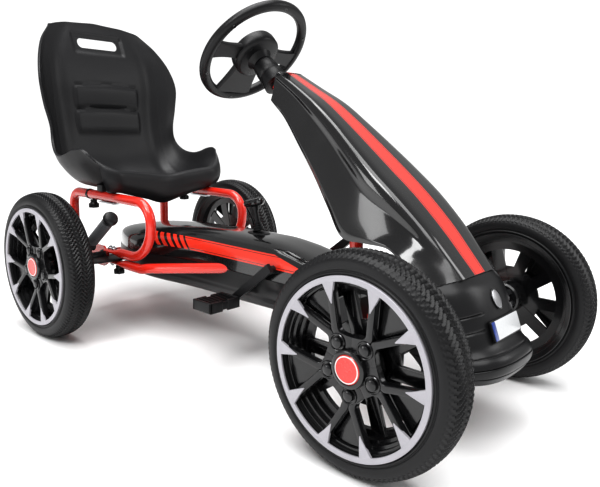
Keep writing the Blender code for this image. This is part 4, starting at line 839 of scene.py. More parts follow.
def makeColumn():
    shroud = lathe("columnShroudBody", [
        (0.0162, -0.0360), (0.0205, -0.0360), (0.0215, -0.0368), (0.0222, -0.0400), (0.0228, -0.0480),
        (0.0236, -0.0520), (0.0240, -0.0640), (0.0236, -0.0650), (0.0242, -0.0660), (0.0258, -0.0850),
        (0.0262, -0.0900), (0.0200, -0.0915), (0.0144, -0.0920), (0.0144, -0.0890), (0.0230, -0.0830),
        (0.0212, -0.0540), (0.0200, -0.0400), (0.0162, -0.0390),
    ], satinBlack, 64, closed=True, axis="Z")
    give(moved(shroud, steeringPlace), "chassis", "satin_black", "column_shroud")
    tube = lathe("columnTube", [
        (0.0122, -0.0952), (0.0136, -0.0950), (0.0140, -0.0956), (0.0140, -0.4444), (0.0136, -0.4450),
        (0.0122, -0.4448),
    ], redPaint, 48, closed=True, axis="Z")
    give(moved(tube, steeringPlace), "chassis", "red_paint", "column_housing")


makeSteeringWheel()
makeColumn()
print("steering made")


def rowFrom(half):
    return [(-x, y, z) for x, y, z in half[:0:-1]] + list(half)


def between(first, second, share):
    return tuple(a + (b - a) * share for a, b in zip(first, second))


def smoothStep(value, low, high):
    t = np.clip((value - low) / (high - low), 0, 1)
    return t * t * (3 - 2 * t)


def normalsOf(grid):
    down = np.gradient(grid, axis=0)
    over = np.gradient(grid, axis=1)
    normal = np.cross(over, down)
    return normal / np.maximum(np.linalg.norm(normal, axis=2, keepdims=True), 1e-12)


def wall(obj, thickness, smooth=40):
    addModifier(obj, "SOLIDIFY", thickness=thickness, offset=-1.0, use_even_offset=False)
    return cleaned(bake(obj), smooth)


fairingShape = {
    "recess": 0.0045, "wall": 0.0028,
    "ribs": (
        ((-0.047, 0.572, 0.036), (-0.037, 0.519, 0.047)), ((-0.100, 0.544, 0.042), (-0.076, 0.485, 0.052)),
        ((-0.150, 0.517, 0.052), (-0.120, 0.439, 0.062)), ((-0.200, 0.482, 0.058), (-0.165, 0.388, 0.070)),
        ((-0.250, 0.444, 0.067), (-0.206, 0.335, 0.078)), ((-0.300, 0.405, 0.074), (-0.243, 0.290, 0.085)),
        ((-0.350, 0.365, 0.073), (-0.294, 0.287, 0.090)), ((-0.400, 0.3185, 0.067), (-0.345, 0.285, 0.094)),
        ((-0.437, 0.279, 0.062), (-0.385, 0.262, 0.098)), ((-0.461, 0.253, 0.060), (-0.412, 0.235, 0.102)),
    ),
}


def makeFairing():
    rows = []
    for (topY, topZ, topHalf), (lowY, lowZ, lowHalf) in fairingShape["ribs"]:
        top, low = (0, topY, topZ), (0, lowY, lowZ)
        half = []
        for share, width in ((0, 0), (0, 0.5 * topHalf), (0.02, 0.85 * topHalf), (0.10, topHalf)):
            point = between(top, low, share)
            half.append((width, point[1], point[2]))
        for share in (0.35, 0.65, 1.0):
            point = between(top, low, share)
            half.append((topHalf + (lowHalf - topHalf) * share, point[1], point[2]))
        rows.append(rowFrom(half))
    grid = surface(rows, 145, 150)
    column = np.abs(np.linspace(-6, 6, grid.shape[1]))[None, :]
    rib = np.linspace(0, 9, grid.shape[0])[:, None]
    inward = np.maximum(0, (3.95 - column) / 0.62) ** 2 + np.maximum(0, (rib - 6.75) / 0.80) ** 2
    mask = 1 - smoothStep(np.sqrt(inward), 0.0, 1.0)
    grid[:, :, 0] -= np.sign(grid[:, :, 0]) * fairingShape["recess"] * mask
    flange = smoothStep(column, 5.75, 6.0)
    grid[:, :, 0] -= np.sign(grid[:, :, 0]) * 0.003 * flange * smoothStep(rib, 0.0, 1.0)
    obj = gridMesh("fairingShell", grid, fairingPaint, smooth=75)
    wall(cleaned(obj, 75), fairingShape["wall"], 75)
    give(obj, "chassis", "gloss_black", "fairing")
    (topY, topZ, topHalf), (lowY, lowZ, lowHalf) = fairingShape["ribs"][0]
    tilt = math.atan2(topY - lowY, topZ - lowZ)
    outline = oblong(topHalf - 0.002, 0.0275, 0.010, 0.004)
    end = slab("fairingEnd", outline, -0.006, 0.0085, nylonBlack, "Y", 0.0035, 3)
    place = Matrix.Translation((0, (topY + lowY) / 2, (topZ + lowZ) / 2 - 0.001)) @ Matrix.Rotation(-tilt, 4, "X")
    give(moved(end, place), "chassis", "nylon")


bumperShape = {
    "wall": 0.003, "groove": 0.0022,
    "ribs": (
        ((-0.4620, 0.2520), (-0.4130, 0.2340)), ((-0.4770, 0.2400), (-0.4260, 0.2220)),
        ((-0.4900, 0.2200), (-0.4370, 0.2030)), ((-0.5020, 0.1950), (-0.4480, 0.1780)),
        ((-0.5150, 0.1620), (-0.4600, 0.1470)), ((-0.5370, 0.1440), (-0.4800, 0.1310)),
        ((-0.5410, 0.1260), (-0.4880, 0.1180)), ((-0.5320, 0.1080), (-0.4820, 0.1060)),
    ),
    "curve": ((0, 0), (0.04, 0.04), (0.07, 0.22), (0.09, 0.52), (0.103, 0.92), (0.108, 1.35), (0.110, 2.1)),
    "plate": (0.047, 0.0158), "badge": (0.0135, 0.0170), "grooves": (2.55, 3.35, 4.6, 5.45, 6.35),
}


def makeBumper():
    shape = bumperShape
    rows = []
    for (midY, midZ), (sideY, sideZ) in shape["ribs"]:
        half = []
        for width, share in shape["curve"]:
            point = between((0, midY, midZ), (0, sideY, sideZ), min(share, 1))
            half.append((width, point[1] + 0.0006 + (sideY - midY) * max(0, share - 1), point[2] - 0.0006))
        rows.append(rowFrom(half))
    grid = surface(rows, 141, 160)
    rib = np.linspace(0, 7, grid.shape[0])[:, None]
    column = np.abs(np.linspace(-6, 6, grid.shape[1]))[None, :]
    cut = sum(np.exp(-(((rib - place) / 0.045) ** 2)) for place in shape["grooves"])
    behindPlate = smoothStep(column, 1.15, 1.35)
    cut = cut * np.where((rib > 2.3) & (rib < 3.9), behindPlate, 1.0) * (1 - smoothStep(column, 5.6, 5.9))
    outward = normalsOf(grid)
    grid -= outward * (shape["groove"] * np.minimum(cut, 1))[:, :, None] * np.sign(-outward[80, 70, 1])
    shell = gridMesh("bumperShell", grid, bumperBlack)
    wall(cleaned(shell), shape["wall"])
    pieces = [shell]
    ribs = shape["ribs"]

    def pad(name, outline, above, below, low, high, paint, bevel=0.0006):
        (y0, z0), (y1, z1) = ribs[above][0], ribs[below][0]
        tilt = math.atan2(y0 - y1, z0 - z1)
        place = Matrix.Translation((0, (y0 + y1) / 2, (z0 + z1) / 2)) @ Matrix.Rotation(-tilt, 4, "X")
        pieces.append(moved(slab(name, outline, low, high, paint, "Y", bevel), place))

    half, tall = shape["plate"]
    pad("plateFrame", oblong(half + 0.0008, tall + 0.0007, 0.004), 3, 4, -0.0026, 0.0012, satinBlack)
    pad("plateFace", oblong(half - 0.0012, tall - 0.0013, 0.0026), 3, 4, -0.0030, 0.0, plateWhite, 0.0003)
    blue = [(-x, z) for x, z in oblong(0.0052, tall - 0.0013, 0.0018)]
    pad("plateBand", [(x - half + 0.0064, z) for x, z in blue], 3, 4, -0.00315, -0.001, plateBlue, 0.0002)
    half, tall = shape["badge"]
    turns = [math.tau * step / 40 for step in range(40)]
    for name, share, depth, paint in (
        ("badgeBezel", 1.0, -0.0028, rimBlack), ("badgeLine", 0.87, -0.0031, zincSteel),
        ("badgeField", 0.77, -0.0033, badgeSilver),
    ):
        oval = [(half * math.cos(turn) * share, tall * math.sin(turn) * share) for turn in turns]
        pad(name, oval, 1, 3, depth, 0.0, paint, 0.0003)
    give(join("bumperBody", pieces), "chassis", "satin_black", "front_bumper")


casingShape = {"seam": 0.180, "front": -0.265, "rear": 0.505, "wall": 0.0024, "stations": 110, "across": 57}


def casingWidth(y):
    return 0.0715 + 0.029 * np.exp(-(((y - 0.325) / 0.105) ** 2))


def casingTop(y):
    return 0.250 - 0.026 * np.maximum(0, (y - 0.10) / 0.36) ** 1.3 - 0.017 * np.maximum(0, (-0.02 - y) / 0.12) ** 1.6


def casingBottom(y):
    return 0.1085 + 0.006 * ((y - 0.12) / 0.36) ** 2


def makeCasing():
    shape = casingShape
    share = np.linspace(0, 1, shape["stations"])
    y = (shape["front"] + (shape["rear"] - shape["front"]) * (1 - (1 - share) ** 1.35))[:, None]
    shrink = np.sqrt(np.maximum(0, 1 - np.maximum(0, (y - 0.36) / (shape["rear"] - 0.36)) ** 2.4))
    nose = np.minimum(1, 0.62 + (y + 0.265) / 0.30)
    width = casingWidth(y) * shrink * nose
    turn = np.linspace(-math.pi / 2, math.pi / 2, shape["across"])[None, :]
    for way, paint, name, node in (
        (1, casingPaint, "casingCover", "casing_upper"), (-1, bumperBlack, "casingTray", "casing_lower")
    ):
        if way > 0:
            height = (casingTop(y) - shape["seam"]) * (0.25 + 0.75 * shrink)
        else:
            height = (shape["seam"] - casingBottom(y)) * (0.45 + 0.55 * shrink)
        sine, cosine = np.sin(turn), np.maximum(np.cos(turn), 0)
        grid = np.empty((len(share), shape["across"], 3))
        grid[:, :, 0] = width * np.sign(sine) * np.abs(sine) ** 0.60
        grid[:, :, 1] = y
        grid[:, :, 2] = shape["seam"] + way * (0.0006 + height * cosine**0.55)
        level = grid[:, :, 2]
        if way > 0:
            ridge = np.exp(-(((level - 0.2385) / 0.0016) ** 2)) * (y > -0.15) * (y < 0.34)
            grid[:, :, 0] += np.sign(sine) * (0.0012 * ridge)
        else:
            hollow = smoothStep(y, -0.105, -0.085) * (1 - smoothStep(y, -0.060, -0.030))
            hollow = hollow * smoothStep(0.180 - level, 0.004, 0.010) * (1 - smoothStep(0.180 - level, 0.040, 0.052))
            grid[:, :, 0] -= np.sign(sine) * 0.006 * hollow
            grid[:, :, 0] -= np.sign(sine) * 0.0015 * np.exp(-(((level - 0.140) / 0.0018) ** 2))
        obj = cleaned(gridMesh(name, grid, paint))
        wall(obj, shape["wall"])
        cap = bmesh.new()
        inset = [cap.verts.new((x * 0.985, yy + 0.0012, z)) for x, yy, z in grid[0].tolist()]
        cap.faces.new(inset)
        cover = makeObject(name + "Front", cap, paint)
        wall(cover, 0.0015)
        give(join(name, [obj, cover], 40), "chassis", "gloss_black" if way > 0 else "satin_black", node)


makeFairing()
makeBumper()
makeCasing()
print("body made")


seatShape = {
    "wall": 0.006, "across": 125, "along": 170, "panelHalf": 0.092, "panelRise": 0.0050, "grooveDepth": 0.0065,
    "panelLow": 0.443, "panelHigh": 0.563, "grooves": (0.503, 0.563), "slotHalf": 0.056, "slotLow": 0.6510,
    "slotHigh": 0.6750, "slotDepth": 0.0048,
    "ribs": (
        ((0.362, 0.2800), (0.128, 0.344, 0.3130), (0.156, 0.352, 0.3170)),
        ((0.347, 0.2960), (0.134, 0.334, 0.3240), (0.166, 0.349, 0.3350)),
        ((0.342, 0.3200), (0.136, 0.329, 0.3400), (0.171, 0.350, 0.3550)),
        ((0.346, 0.3430), (0.135, 0.333, 0.3610), (0.173, 0.356, 0.3760)),
        ((0.362, 0.3470), (0.133, 0.350, 0.3640), (0.180, 0.374, 0.3950)),
        ((0.385, 0.3350), (0.134, 0.378, 0.3470), (0.188, 0.397, 0.4090)),
        ((0.420, 0.3230), (0.136, 0.418, 0.3300), (0.193, 0.430, 0.4060)),
        ((0.465, 0.3200), (0.137, 0.462, 0.3280), (0.194, 0.462, 0.3960)),
        ((0.510, 0.3240), (0.136, 0.505, 0.3320), (0.192, 0.490, 0.3920)),
        ((0.545, 0.3420), (0.134, 0.540, 0.3500), (0.185, 0.520, 0.3990)),
        ((0.570, 0.3800), (0.132, 0.566, 0.3880), (0.177, 0.545, 0.4220)),
        ((0.584, 0.4400), (0.130, 0.584, 0.4450), (0.175, 0.553, 0.4580)),
        ((0.592, 0.5050), (0.132, 0.594, 0.5080), (0.186, 0.557, 0.5080)),
        ((0.597, 0.5650), (0.136, 0.600, 0.5660), (0.192, 0.561, 0.5640)),
        ((0.612, 0.6200), (0.130, 0.612, 0.6200), (0.182, 0.580, 0.6150)),
        ((0.632, 0.6700), (0.112, 0.630, 0.6650), (0.160, 0.608, 0.6600)),
        ((0.650, 0.7060), (0.086, 0.647, 0.7010), (0.132, 0.634, 0.6930)),
        ((0.6545, 0.7170), (0.078, 0.652, 0.7120), (0.120, 0.640, 0.7020)),
    ),
}


def doubleShell(name, inner, outer, paint, bevel):
    # two grids, joined round their edges, with the edges rounded
    height, width = inner.shape[:2]
    count = height * width
    index = np.arange(count).reshape(height, width)
    a, b, c, d = index[:-1, :-1], index[1:, :-1], index[1:, 1:], index[:-1, 1:]
    faces = np.stack([a, b, c, d], -1).reshape(-1, 4).tolist()
    faces += (np.stack([a, d, c, b], -1).reshape(-1, 4) + count).tolist()
    loop = [*index[0, :], *index[1:, -1], *index[-1, -2::-1], *index[-2:0:-1, 0]]
    for here, there in zip(loop, loop[1:] + loop[:1]):
        faces.append([int(here), int(there), int(there) + count, int(here) + count])
    mesh = bpy.data.meshes.new(name)
    points = np.concatenate([inner.reshape(-1, 3), outer.reshape(-1, 3)])
    mesh.from_pydata(points.tolist(), [], faces)
    mesh.materials.append(paint)
    obj = cleaned(inScene(name, mesh), 40)
    addModifier(obj, "BEVEL", width=bevel, segments=3, limit_method="ANGLE", angle_limit=math.radians(60))
    return cleaned(bake(obj), 50)


def subtract(obj, cutter):
    addModifier(obj, "BOOLEAN", object=cutter, operation="DIFFERENCE", solver="EXACT")
    bake(obj)
    bpy.data.objects.remove(cutter)
    return obj


def makeSeat():
    shape = seatShape
    rows = []
    for (midY, midZ), shoulder, edge in shape["ribs"]:
        centre = (0, midY, midZ)
        middle = between(shoulder, edge, 0.5)
        middle = tuple(m + (s - c) * 0.06 for m, s, c in zip(middle, shoulder, centre))
        half = [centre, between(centre, shoulder, 0.40), between(centre, shoulder, 0.74), shoulder, middle, edge]
        rows.append(rowFrom(half))
    grid = surface(rows, shape["across"], shape["along"])
    normal = normalsOf(grid)
    normal *= np.sign(normal[80, 62, 2]) or 1
    rib = np.linspace(0, 17, shape["along"])[:, None]
    x, z = np.abs(grid[:, :, 0]), grid[:, :, 2]
    panel = smoothStep(shape["panelHalf"] - x, -0.004, 0.006)
    panel = panel * smoothStep(z, shape["panelLow"] - 0.007, shape["panelLow"] + 0.007)
    panel = panel * (1 - smoothStep(z, shape["panelHigh"] - 0.006, shape["panelHigh"] + 0.008)) * (rib > 9.3)
    scallop = 0.004 * np.abs(np.sin(math.pi * (z - shape["panelLow"]) / 0.060))
    panel = panel * smoothStep(shape["panelHalf"] - 0.003 + scallop - x, -0.003, 0.006)
    sag = 0.004 * (x / shape["panelHalf"]) ** 2
    groove = sum(np.exp(-(((z + sag - place) / 0.0042) ** 2)) for place in shape["grooves"])
    pillow = sum(np.exp(-(((z + sag - place) / 0.0125) ** 2)) for place in shape["grooves"])
    rise = panel * (shape["panelRise"] - shape["grooveDepth"] * np.minimum(groove, 1) - 0.0018 * pillow)
    slotX = smoothStep(shape["slotHalf"] + 0.014 - x, -0.004, 0.003)
    slotZ = smoothStep(z, shape["slotLow"] - 0.014, shape["slotLow"] - 0.008)
    slotZ = slotZ * (1 - smoothStep(z, shape["slotHigh"] + 0.008, shape["slotHigh"] + 0.014)) * (rib > 13)
    lip = np.exp(-(((rib - 4.55) / 0.16) ** 2)) * (1 - smoothStep(x, 0.125, 0.150))
    edgeLine = np.exp(-(((x - 0.1475) / 0.0022) ** 2)) * smoothStep(rib, 5.2, 6.5) * (1 - smoothStep(rib, 13.5, 15))
    inner = grid + normal * (rise - shape["slotDepth"] * slotX * slotZ - 0.0012 * lip - 0.0008 * edgeLine)[:, :, None]
    thick = shape["wall"] * (1 - 0.1 * smoothStep(x, 0.15, 0.19))
    outer = grid - normal * thick[:, :, None]
    shell = doubleShell("seatShell", inner, outer, seatBlack, 0.0022)
    half, low, high = shape["slotHalf"], shape["slotLow"], shape["slotHigh"]
    radius = (high - low) / 2 - 0.0005
    outline = [(x, (low + high) / 2 + z) for x, z in oblong(half, (high - low) / 2, radius, steps=9)]
    subtract(shell, slab("slotCutter", outline, 0.56, 0.70, seatBlack, "Y", 0))
    pieces = [shaded(shell, 45)]
    base = 0.301 + 0.011 + 0.0003
    for sign in (-1, 1):
        for y, rise in ((0.364, 0.031), (0.404, 0.0155)):
            low = (sign * 0.133 - 0.0105, y - 0.0085, base)
            high = (sign * 0.133 + 0.0105, y + 0.0135, base + rise)
            pieces.append(roundedBox("foot", low, high, seatBlack, 0.0012))
            ribLow = (sign * 0.133 - 0.0016, y + 0.0130, base + rise * 0.35)
            pieces.append(roundedBox("footRib", ribLow, (sign * 0.133 + 0.0016, y + 0.0230, base + rise * 0.9),
                                     seatBlack, 0.0006))
    seat = join("seatBody", pieces)
    give(seat, "seat_unit", "seat_plastic", "seat")


makeSeat()
print("seat made")


tubeSize = {"radius": 0.011, "hoopX": 0.133, "topZ": 0.301, "lowZ": 0.1765, "frontY": 0.225, "jointY": 0.4697,
            "endY": 0.394, "rearY": 0.541, "sideZ": 0.153, "rod": 0.0085}


def flattened(start, wide, high):
    def squash(share):
        t = min(1.0, max(0.0, (share - start) / 0.06))
        t = t * t * (3 - 2 * t)
        return 1 + (wide - 1) * t, 1 + (high - 1) * t
    return squash


def boltTip(name, place, radius=0.0033, height=0.0075):
    # a nut with the domed end of its bolt, pointing up
    profile = [(0.0, -0.003), (radius * 1.9, -0.003), (radius * 1.9, height * 0.35), (radius * 1.6, height * 0.5),
               (radius, height * 0.5), (radius, height * 0.85), (radius * 0.6, height), (0.0, height)]
    return moved(lathe(name, profile, zincSteel, 24, axis="Z"), Matrix.Translation(place))


def makeKnob(name, place):
    # clamping knob: a waisted collar over a lobed grip
    lobe = lathe("lobe", [(0.0, -0.0195), (0.0030, -0.0195), (0.0041, -0.0182), (0.0043, -0.0120), (0.0034, -0.0100),
                          (0.0, -0.0098)], satinBlack, 14, axis="Z")
    lobes = around("lobes", lobe, 6, 0.0086, satinBlack)
    body = lathe("knobBody", [
        (0.0, 0.0150), (0.0029, 0.0150), (0.0029, -0.0008), (0.0072, -0.0010), (0.0078, -0.0030), (0.0074, -0.0070),
        (0.0095, -0.0098), (0.0102, -0.0120), (0.0102, -0.0180), (0.0080, -0.0200), (0.0, -0.0200),
    ], satinBlack, 36, axis="Z")
    return moved(join(name, [lobes, body]), Matrix.Translation(place))


def makeTubes():
    size = tubeSize
    for side, sign in (("Right", -1), ("Left", 1)):
        x = sign * size["hoopX"]
        corners = [(x, size["jointY"], size["topZ"]), (x, size["frontY"], size["topZ"]),
                   (x, size["frontY"], size["lowZ"]), (x, size["endY"], size["lowZ"])]
        path = rounded(corners, (0.046, 0.077), 18)
        last = path[-1]
        path[-1:] = [path[-2].lerp(last, t) for t in (0.30, 0.42, 0.50, 0.58, 0.66, 0.74, 0.82, 0.90, 0.96, 1.0)]
        hoop = pipe(f"hoop{side}", path, size["radius"], redPaint, 28, flattened(0.885, 1.22, 0.42))
        parts = [hoop]
        for y in (0.371, 0.385):
            parts.append(boltTip("tip", (x, y, size["lowZ"] + 0.0044)))
        collar = lathe("collar", [(0.0112, -0.004), (0.0122, -0.0034), (0.0122, 0.0034), (0.0112, 0.004)], satinBlack,
                       32, closed=True, axis="Z")
        turn = Matrix.Translation((x, size["jointY"] - 0.005, size["topZ"])) @ Matrix.Rotation(math.pi / 2, 4, "X")
        parts.append(moved(collar, turn))
        give(join(f"seatHoop{side}", parts), "seat_unit", "red_paint", f"seat_hoop_{side.lower()}")
        corners = [(x, 0.3957, size["sideZ"]), (x, 0.262, size["sideZ"]), (x, 0.243, 0.158),
                   (sign * 0.045, 0.012, 0.186)]
        path = rounded(corners, (0.05, 0.045), 10)
        path[:1] = [path[0].lerp(path[1], t) for t in (0, 0.06, 0.14, 0.24, 0.32, 0.40, 0.46, 0.52, 0.60, 0.72, 0.86)]
        path[-1] = path[-2].lerp(path[-1], 0.955)

        def squash(share, base=flattened(0.80, 1.12, 0.52)):
            return base(1 - share)

        tube = pipe(f"sideTube{side}Body", path, size["radius"], redPaint, 28, squash)
        under = boltTip("under", (0, 0, 0), 0.0030, 0.006)
        below = Matrix.Translation((x, 0.378, size["sideZ"] - 0.0054)) @ Matrix.Rotation(math.pi, 4, "X")
        under = moved(under, below)
        give(join(f"sideTube{side}", [tube, under]), "chassis", "red_paint", f"side_tube_{side.lower()}")
        for part, y, top, body in (
            ("upper", 0.451, size["topZ"] - size["radius"], "seat_unit"),
            ("lower", 0.352, 0.1477, "chassis"),
        ):
            node = f"{part}_knob_{side.lower()}"
            knob = makeKnob(f"{part}Knob{side}", (x, y, top - 0.0003))
            give(knob, knobBody.get(node, body), "satin_black", node)
    start = size["jointY"] + 0.0003
    x, rear, low, high = size["hoopX"], size["rearY"], 0.1335, size["topZ"]
    corners = [(-x, start, high), (-x, rear, high), (-x, rear, low), (x, rear, low), (x, rear, high),
               (x, start, high)]
    frameTube = pipe("rearTube", rounded(corners, (0.030, 0.035, 0.035, 0.030), 14), size["radius"], redPaint, 28)
    rods = [
        pipe("rod", [(sign * x, start - 0.049, high), (sign * x, start + 0.010, high)], size["rod"], zincSteel, 24)
        for sign in (-1, 1)
    ]
    give(join("rearFrameTube", [frameTube, *rods]), "chassis", "red_paint", "rear_frame")


knobBody = {
    node: body for body, nodes in frame["record"]["behaviour"]["bodies"].items() for node in nodes if "knob" in node
}
makeTubes()
print("tubes made")


brakeSize = {"pivot": (-0.198, 0.365, 0.200), "angle": 38.0, "gripLength": 0.105, "gripRadius": 0.0125, "ribs": 15}


def makeBrake():
    size = brakeSize
    px, py, pz = size["pivot"]
    low = 0.1603
    floor = slab("floorPlate", [
        (-0.122, 0.341), (-0.122, 0.388), (px + 0.022, 0.388), (px - 0.014, 0.388), (px - 0.014, 0.350),
        (px + 0.012, 0.341),
    ], low, low + 0.003, satinBlack, "Z", 0.0006)
    cheek = slab("cheek", [
        (0.350, low), (0.396, low), (py + 0.013, pz - 0.002), (py + 0.0115, pz + 0.006), (py + 0.0075, pz + 0.0115),
        (py, pz + 0.0138), (py - 0.0075, pz + 0.0115), (py - 0.0115, pz + 0.006), (py - 0.013, pz - 0.002),
    ], px - 0.014, px - 0.010, satinBlack, "X", 0.0006)
    gusset = slab("gusset", [(px - 0.010, low + 0.002), (px + 0.020, low + 0.002), (px - 0.010, low + 0.024)],
                  0.3835, 0.3865, satinBlack, "Y", 0.0005)
    bolt = pipe("bolt", [(px - 0.016, py, pz), (px + 0.010, py, pz)], 0.0040, zincSteel, 24)
    head = lathe("head", [
        (0.0, -0.0190), (0.0032, -0.0189), (0.0036, -0.0186), (0.0066, -0.0186), (0.0072, -0.0180), (0.0072, -0.0150),
        (0.0084, -0.0148), (0.0086, -0.0138), (0.0, -0.0138),
    ], zincSteel, 36)
    moved(head, Matrix.Translation((px, py, pz)))
    give(join("brakeBracket", [floor, cheek, gusset, bolt, head]), "chassis", "satin_black", "brake_bracket")

    tilt = math.radians(size["angle"])
    up = Vector((0, -math.cos(tilt), math.sin(tilt)))
    stand = Matrix.Translation(Vector(size["pivot"]) + up * 0.016) @ up.to_track_quat("Z", "X").to_matrix().to_4x4()
    length, radius = size["gripLength"], size["gripRadius"]
    core = lathe("gripCore", [
        (0.0060, 0.0), (radius - 0.0022, 0.0), (radius - 0.0008, 0.0015), (radius - 0.0008, length - 0.016),
        (0.0060, length - 0.016),
    ], gripGrey, 40, closed=True, axis="Z")
    ridge = lathe("ridge", [
        (radius - 0.0016, -0.0022), (radius - 0.0002, -0.0014), (radius, 0.0), (radius - 0.0002, 0.0014),
        (radius - 0.0016, 0.0022),
    ], gripGrey, 40, closed=True, axis="Z")
    ridges = lineUp("ridges", ridge, size["ribs"], [(0, 0, 0.004), (0, 0, length - 0.020)], gripGrey)
    end = lathe("gripEnd", [
        (0.0, length - 0.018), (radius + 0.0004, length - 0.018), (radius + 0.0010, length - 0.0130),
        (radius + 0.0030, length - 0.0105), (radius + 0.0032, length - 0.0050), (radius + 0.0012, length - 0.0004),
        (radius - 0.0020, length + 0.0014), (0.0, length + 0.0020),
    ], satinBlack, 48, axis="Z")
    grip = moved(join("brakeGripBody", [core, ridges, end]), stand)
    give(grip, "hand_brake", "grip_grey", "brake_grip")


makeBrake()
print("brake made")


pedalSize = {"half": (0.0375, 0.0265, 0.0105), "rim": 0.0055, "bars": 5}


def makePedal(side, node):
    low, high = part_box(node)
    centre = (low + high) / 2 - Vector((0, moveY, 0))
    hx, hy, hz = pedalSize["half"]
    rim = pedalSize["rim"]
    inside = Vector((hx - 0.001, hy - 0.001, hz - 0.003))
    pieces = [roundedBox("core", -inside, inside, satinBlack, 0.0015)]
    for sx in (-1, 1):
        a, b = sorted((sx * hx, sx * (hx - rim)))
        pieces.append(roundedBox("end", (a, -hy, -hz), (b, hy, hz), satinBlack, 0.0018))
        a, b = sorted((sx * hy, sx * (hy - rim)))
        pieces.append(roundedBox("edge", (-hx, a, -hz), (-0.006, b, hz), satinBlack, 0.0018))
        pieces.append(roundedBox("edge", (0.006, a, -hz), (hx, b, hz), satinBlack, 0.0018))
    # each bar lies across the pedal: its own z follows the line of bars
    bar = roundedBox("bar", (-hx + 0.0045, -hz + 0.0008, -0.0014), (hx - 0.0045, hz - 0.0008, 0.0014), satinBlack,
                     0.0008)
    pieces.append(lineUp("bars", bar, pedalSize["bars"], [(0, -hy + 0.0095, 0), (0, hy - 0.0095, 0)], satinBlack))
    pedal = moved(join(f"pedal{side}Body", pieces), Matrix.Translation(centre))
    give(pedal, node, "satin_black", node)


def makeShiftLever():
    pivot = Vector((0, 0.026, 0.232))
    up = Vector((0, math.sin(math.radians(15)), math.cos(math.radians(15))))
    stand = Matrix.Translation(pivot) @ up.to_track_quat("Z", "X").to_matrix().to_4x4()
    base = lathe("shiftBase", [
        (0.0, 0.2485), (0.0230, 0.2485), (0.0226, 0.2512), (0.0200, 0.2526), (0.0130, 0.2530), (0.0, 0.2530),
    ], satinBlack, 48, axis="Z")
    base.data.transform(Matrix.Translation((0, 0.032, 0)) @ Matrix.Diagonal((0.85, 1.2, 1, 1)))
    give(base, "chassis", "satin_black")
    folds = [(0.0, 0.0245)]
    for number in range(4):
        r, z = 0.0128 - 0.0017 * number, 0.0245 + 0.0050 * number
        folds += [(r, z), (r + 0.0006, z + 0.0014), (r - 0.0022, z + 0.0036)]
    folds += [(0.0056, 0.0452), (0.0, 0.0452)]
    boot = lathe("shiftBoot", folds, satinBlack, 40, axis="Z")
    moved(boot, toFrame @ stand)
    tuple(toFrame @ stand @ Vector((0, 0, 0.0245)))
    tuple(toFrame @ stand @ Vector((0, 0, 0.0440)))
    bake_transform(boot)
    neck = lathe("neck", [(0.0, 0.040), (0.0052, 0.040), (0.0050, 0.064), (0.0075, 0.069), (0.0085, 0.075),
                          (0.0, 0.075)], satinBlack, 32, axis="Z")
    give(moved(join("shiftNeck", [neck]), stand), "shift_lever", "satin_black")
    ends = np.linspace(-1, 1, 25)
    grid = np.empty((25, 28, 3))
    for i, t in enumerate(ends):
        shrink = math.sqrt(max(0.0, 1 - abs(t) ** 7))
        for j in range(28):
            turn = math.tau * j / 28
            wave = 1 + 0.03 * math.cos(t * 9)
            grid[i, j] = (0.028 * t, 0.0098 * shrink * wave * math.cos(turn),
                          0.083 + 0.0085 * shrink * wave * math.sin(turn) + 0.0018 * t * t)
    handle = cleaned(gridMesh("shiftHandleBody", grid, glossBlack, closeAcross=True, smooth=60), 60)
    give(moved(handle, stand), "shift_lever", "satin_black", "shift_handle")


makePedal("Right", "pedal_right")
makePedal("Left", "pedal_left")
makeShiftLever()
print("pedals and lever made")


def repaint():
    finishes = {
        "red_paint": redPaint, "gloss_black": glossBlack, "satin_black": satinBlack, "black_steel": darkSteel,
        "seat_plastic": seatBlack, "grip_grey": gripGrey, "foam_tyre": foamTyre, "rim_black": rimBlack,
        "cap_red": capRed, "zinc_steel": zincSteel, "dark_steel": darkSteel, "nylon": nylonBlack,
    }
    slots = {part["node"]: part["material_slot"] for part in frame["record"]["subparts"]}
    for name, node in frame["nodes"].items():
        node.data.materials.clear()
        node.data.materials.append(finishes[slots[name]])
    frame["nodes"]["main_frame"].data.materials[0] = redPaint
    frame["nodes"]["crank"].data.materials[0] = darkSteel


repaint()


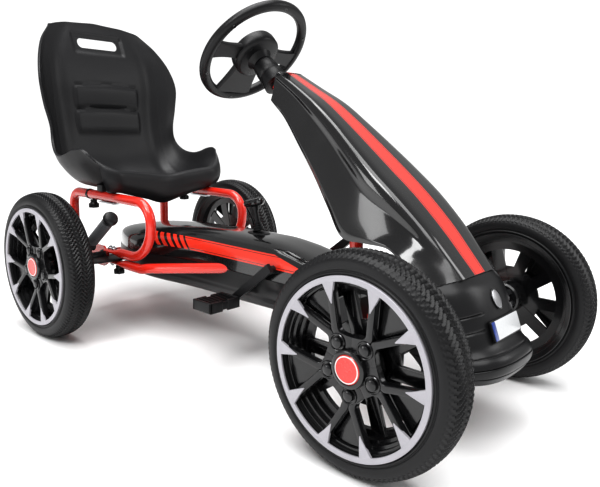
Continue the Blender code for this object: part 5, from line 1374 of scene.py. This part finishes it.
studio = {
    "floor": 60.0, "sun": 2.7, "sunSpread": 55, "sky": 0.50, "white": 1.1, "gamma": 0.80,
    "lights": (
        ("keyLight", (-2.2, -0.4, 2.7), 1.0, 34.0), ("fillLight", (1.8, -2.2, 1.8), 1.2, 16.0),
        ("topLight", (0.1, 0.6, 3.0), 1.8, 40.0), ("sideLight", (-2.5, 1.1, 0.75), 0.8, 9.0),
    ),
    "lens": 37.058, "sensor": 36.0,
    "camera": (-0.89902, -0.87024, 0.47810), "azimuth": -48.7715, "elevation": 11.0362, "roll": 1.5123,
}


def makeStudio():
    bm = bmesh.new()
    half = studio["floor"]
    corners = [(-half, -half), (half, -half), (half, half), (-half, half)]
    bm.faces.new([bm.verts.new((x, y, 0)) for x, y in corners])
    paint = Paint(bpy.data.materials.new("floorPaint"))
    paint.done(baseColor=paint.mix(paint.noise(3, 2), (0.88, 0.88, 0.88), (0.91, 0.91, 0.91)), roughness=0.55)
    makeObject("studioFloor", bm, paint.material)
    scene.world = bpy.data.worlds.new("studioSky")
    sky = Paint(scene.world, "Background")
    seen = sky.node("ShaderNodeLightPath")[0]
    # plain white where the camera sees it, dimmer where it lights the kart
    sky.done(color=(1.0, 1.0, 1.0), strength=seen * (studio["white"] - studio["sky"]) + studio["sky"])
    sun = bpy.data.lights.new("softSun", "SUN")
    sun.energy, sun.angle = studio["sun"], math.radians(studio["sunSpread"])
    lamp = inScene("softSun", sun)
    lamp.rotation_euler = (math.radians(14), math.radians(-12), 0)
    for name, place, size, power in studio["lights"]:
        light = bpy.data.lights.new(name, "AREA")
        light.energy, light.size = power, size
        obj = inScene(name, light)
        obj.location = place
        obj.rotation_euler = (Vector((0, 0, 0.3)) - Vector(place)).to_track_quat("-Z", "Y").to_euler()
    camera = bpy.data.cameras.new("studioCamera")
    camera.lens, camera.sensor_width = studio["lens"], studio["sensor"]
    camera.clip_start, camera.clip_end = 0.02, 60
    obj = inScene("studioCamera", camera)
    a, e, roll = (math.radians(studio[key]) for key in ("azimuth", "elevation", "roll"))
    back = Vector((math.sin(a) * math.cos(e), -math.cos(a) * math.cos(e), math.sin(e)))
    right = (-back).cross(Vector((0, 0, 1))).normalized()
    up = right.cross(-back)
    turned = right * math.cos(roll) + up * math.sin(roll), up * math.cos(roll) - right * math.sin(roll), back
    obj.matrix_world = Matrix.Translation(toFrame @ Vector(studio["camera"])) @ Matrix(turned).transposed().to_4x4()
    scene.camera = obj
    scene.view_settings.view_transform = "Standard"
    scene.view_settings.gamma = studio["gamma"]


makeStudio()
print("studio ready")
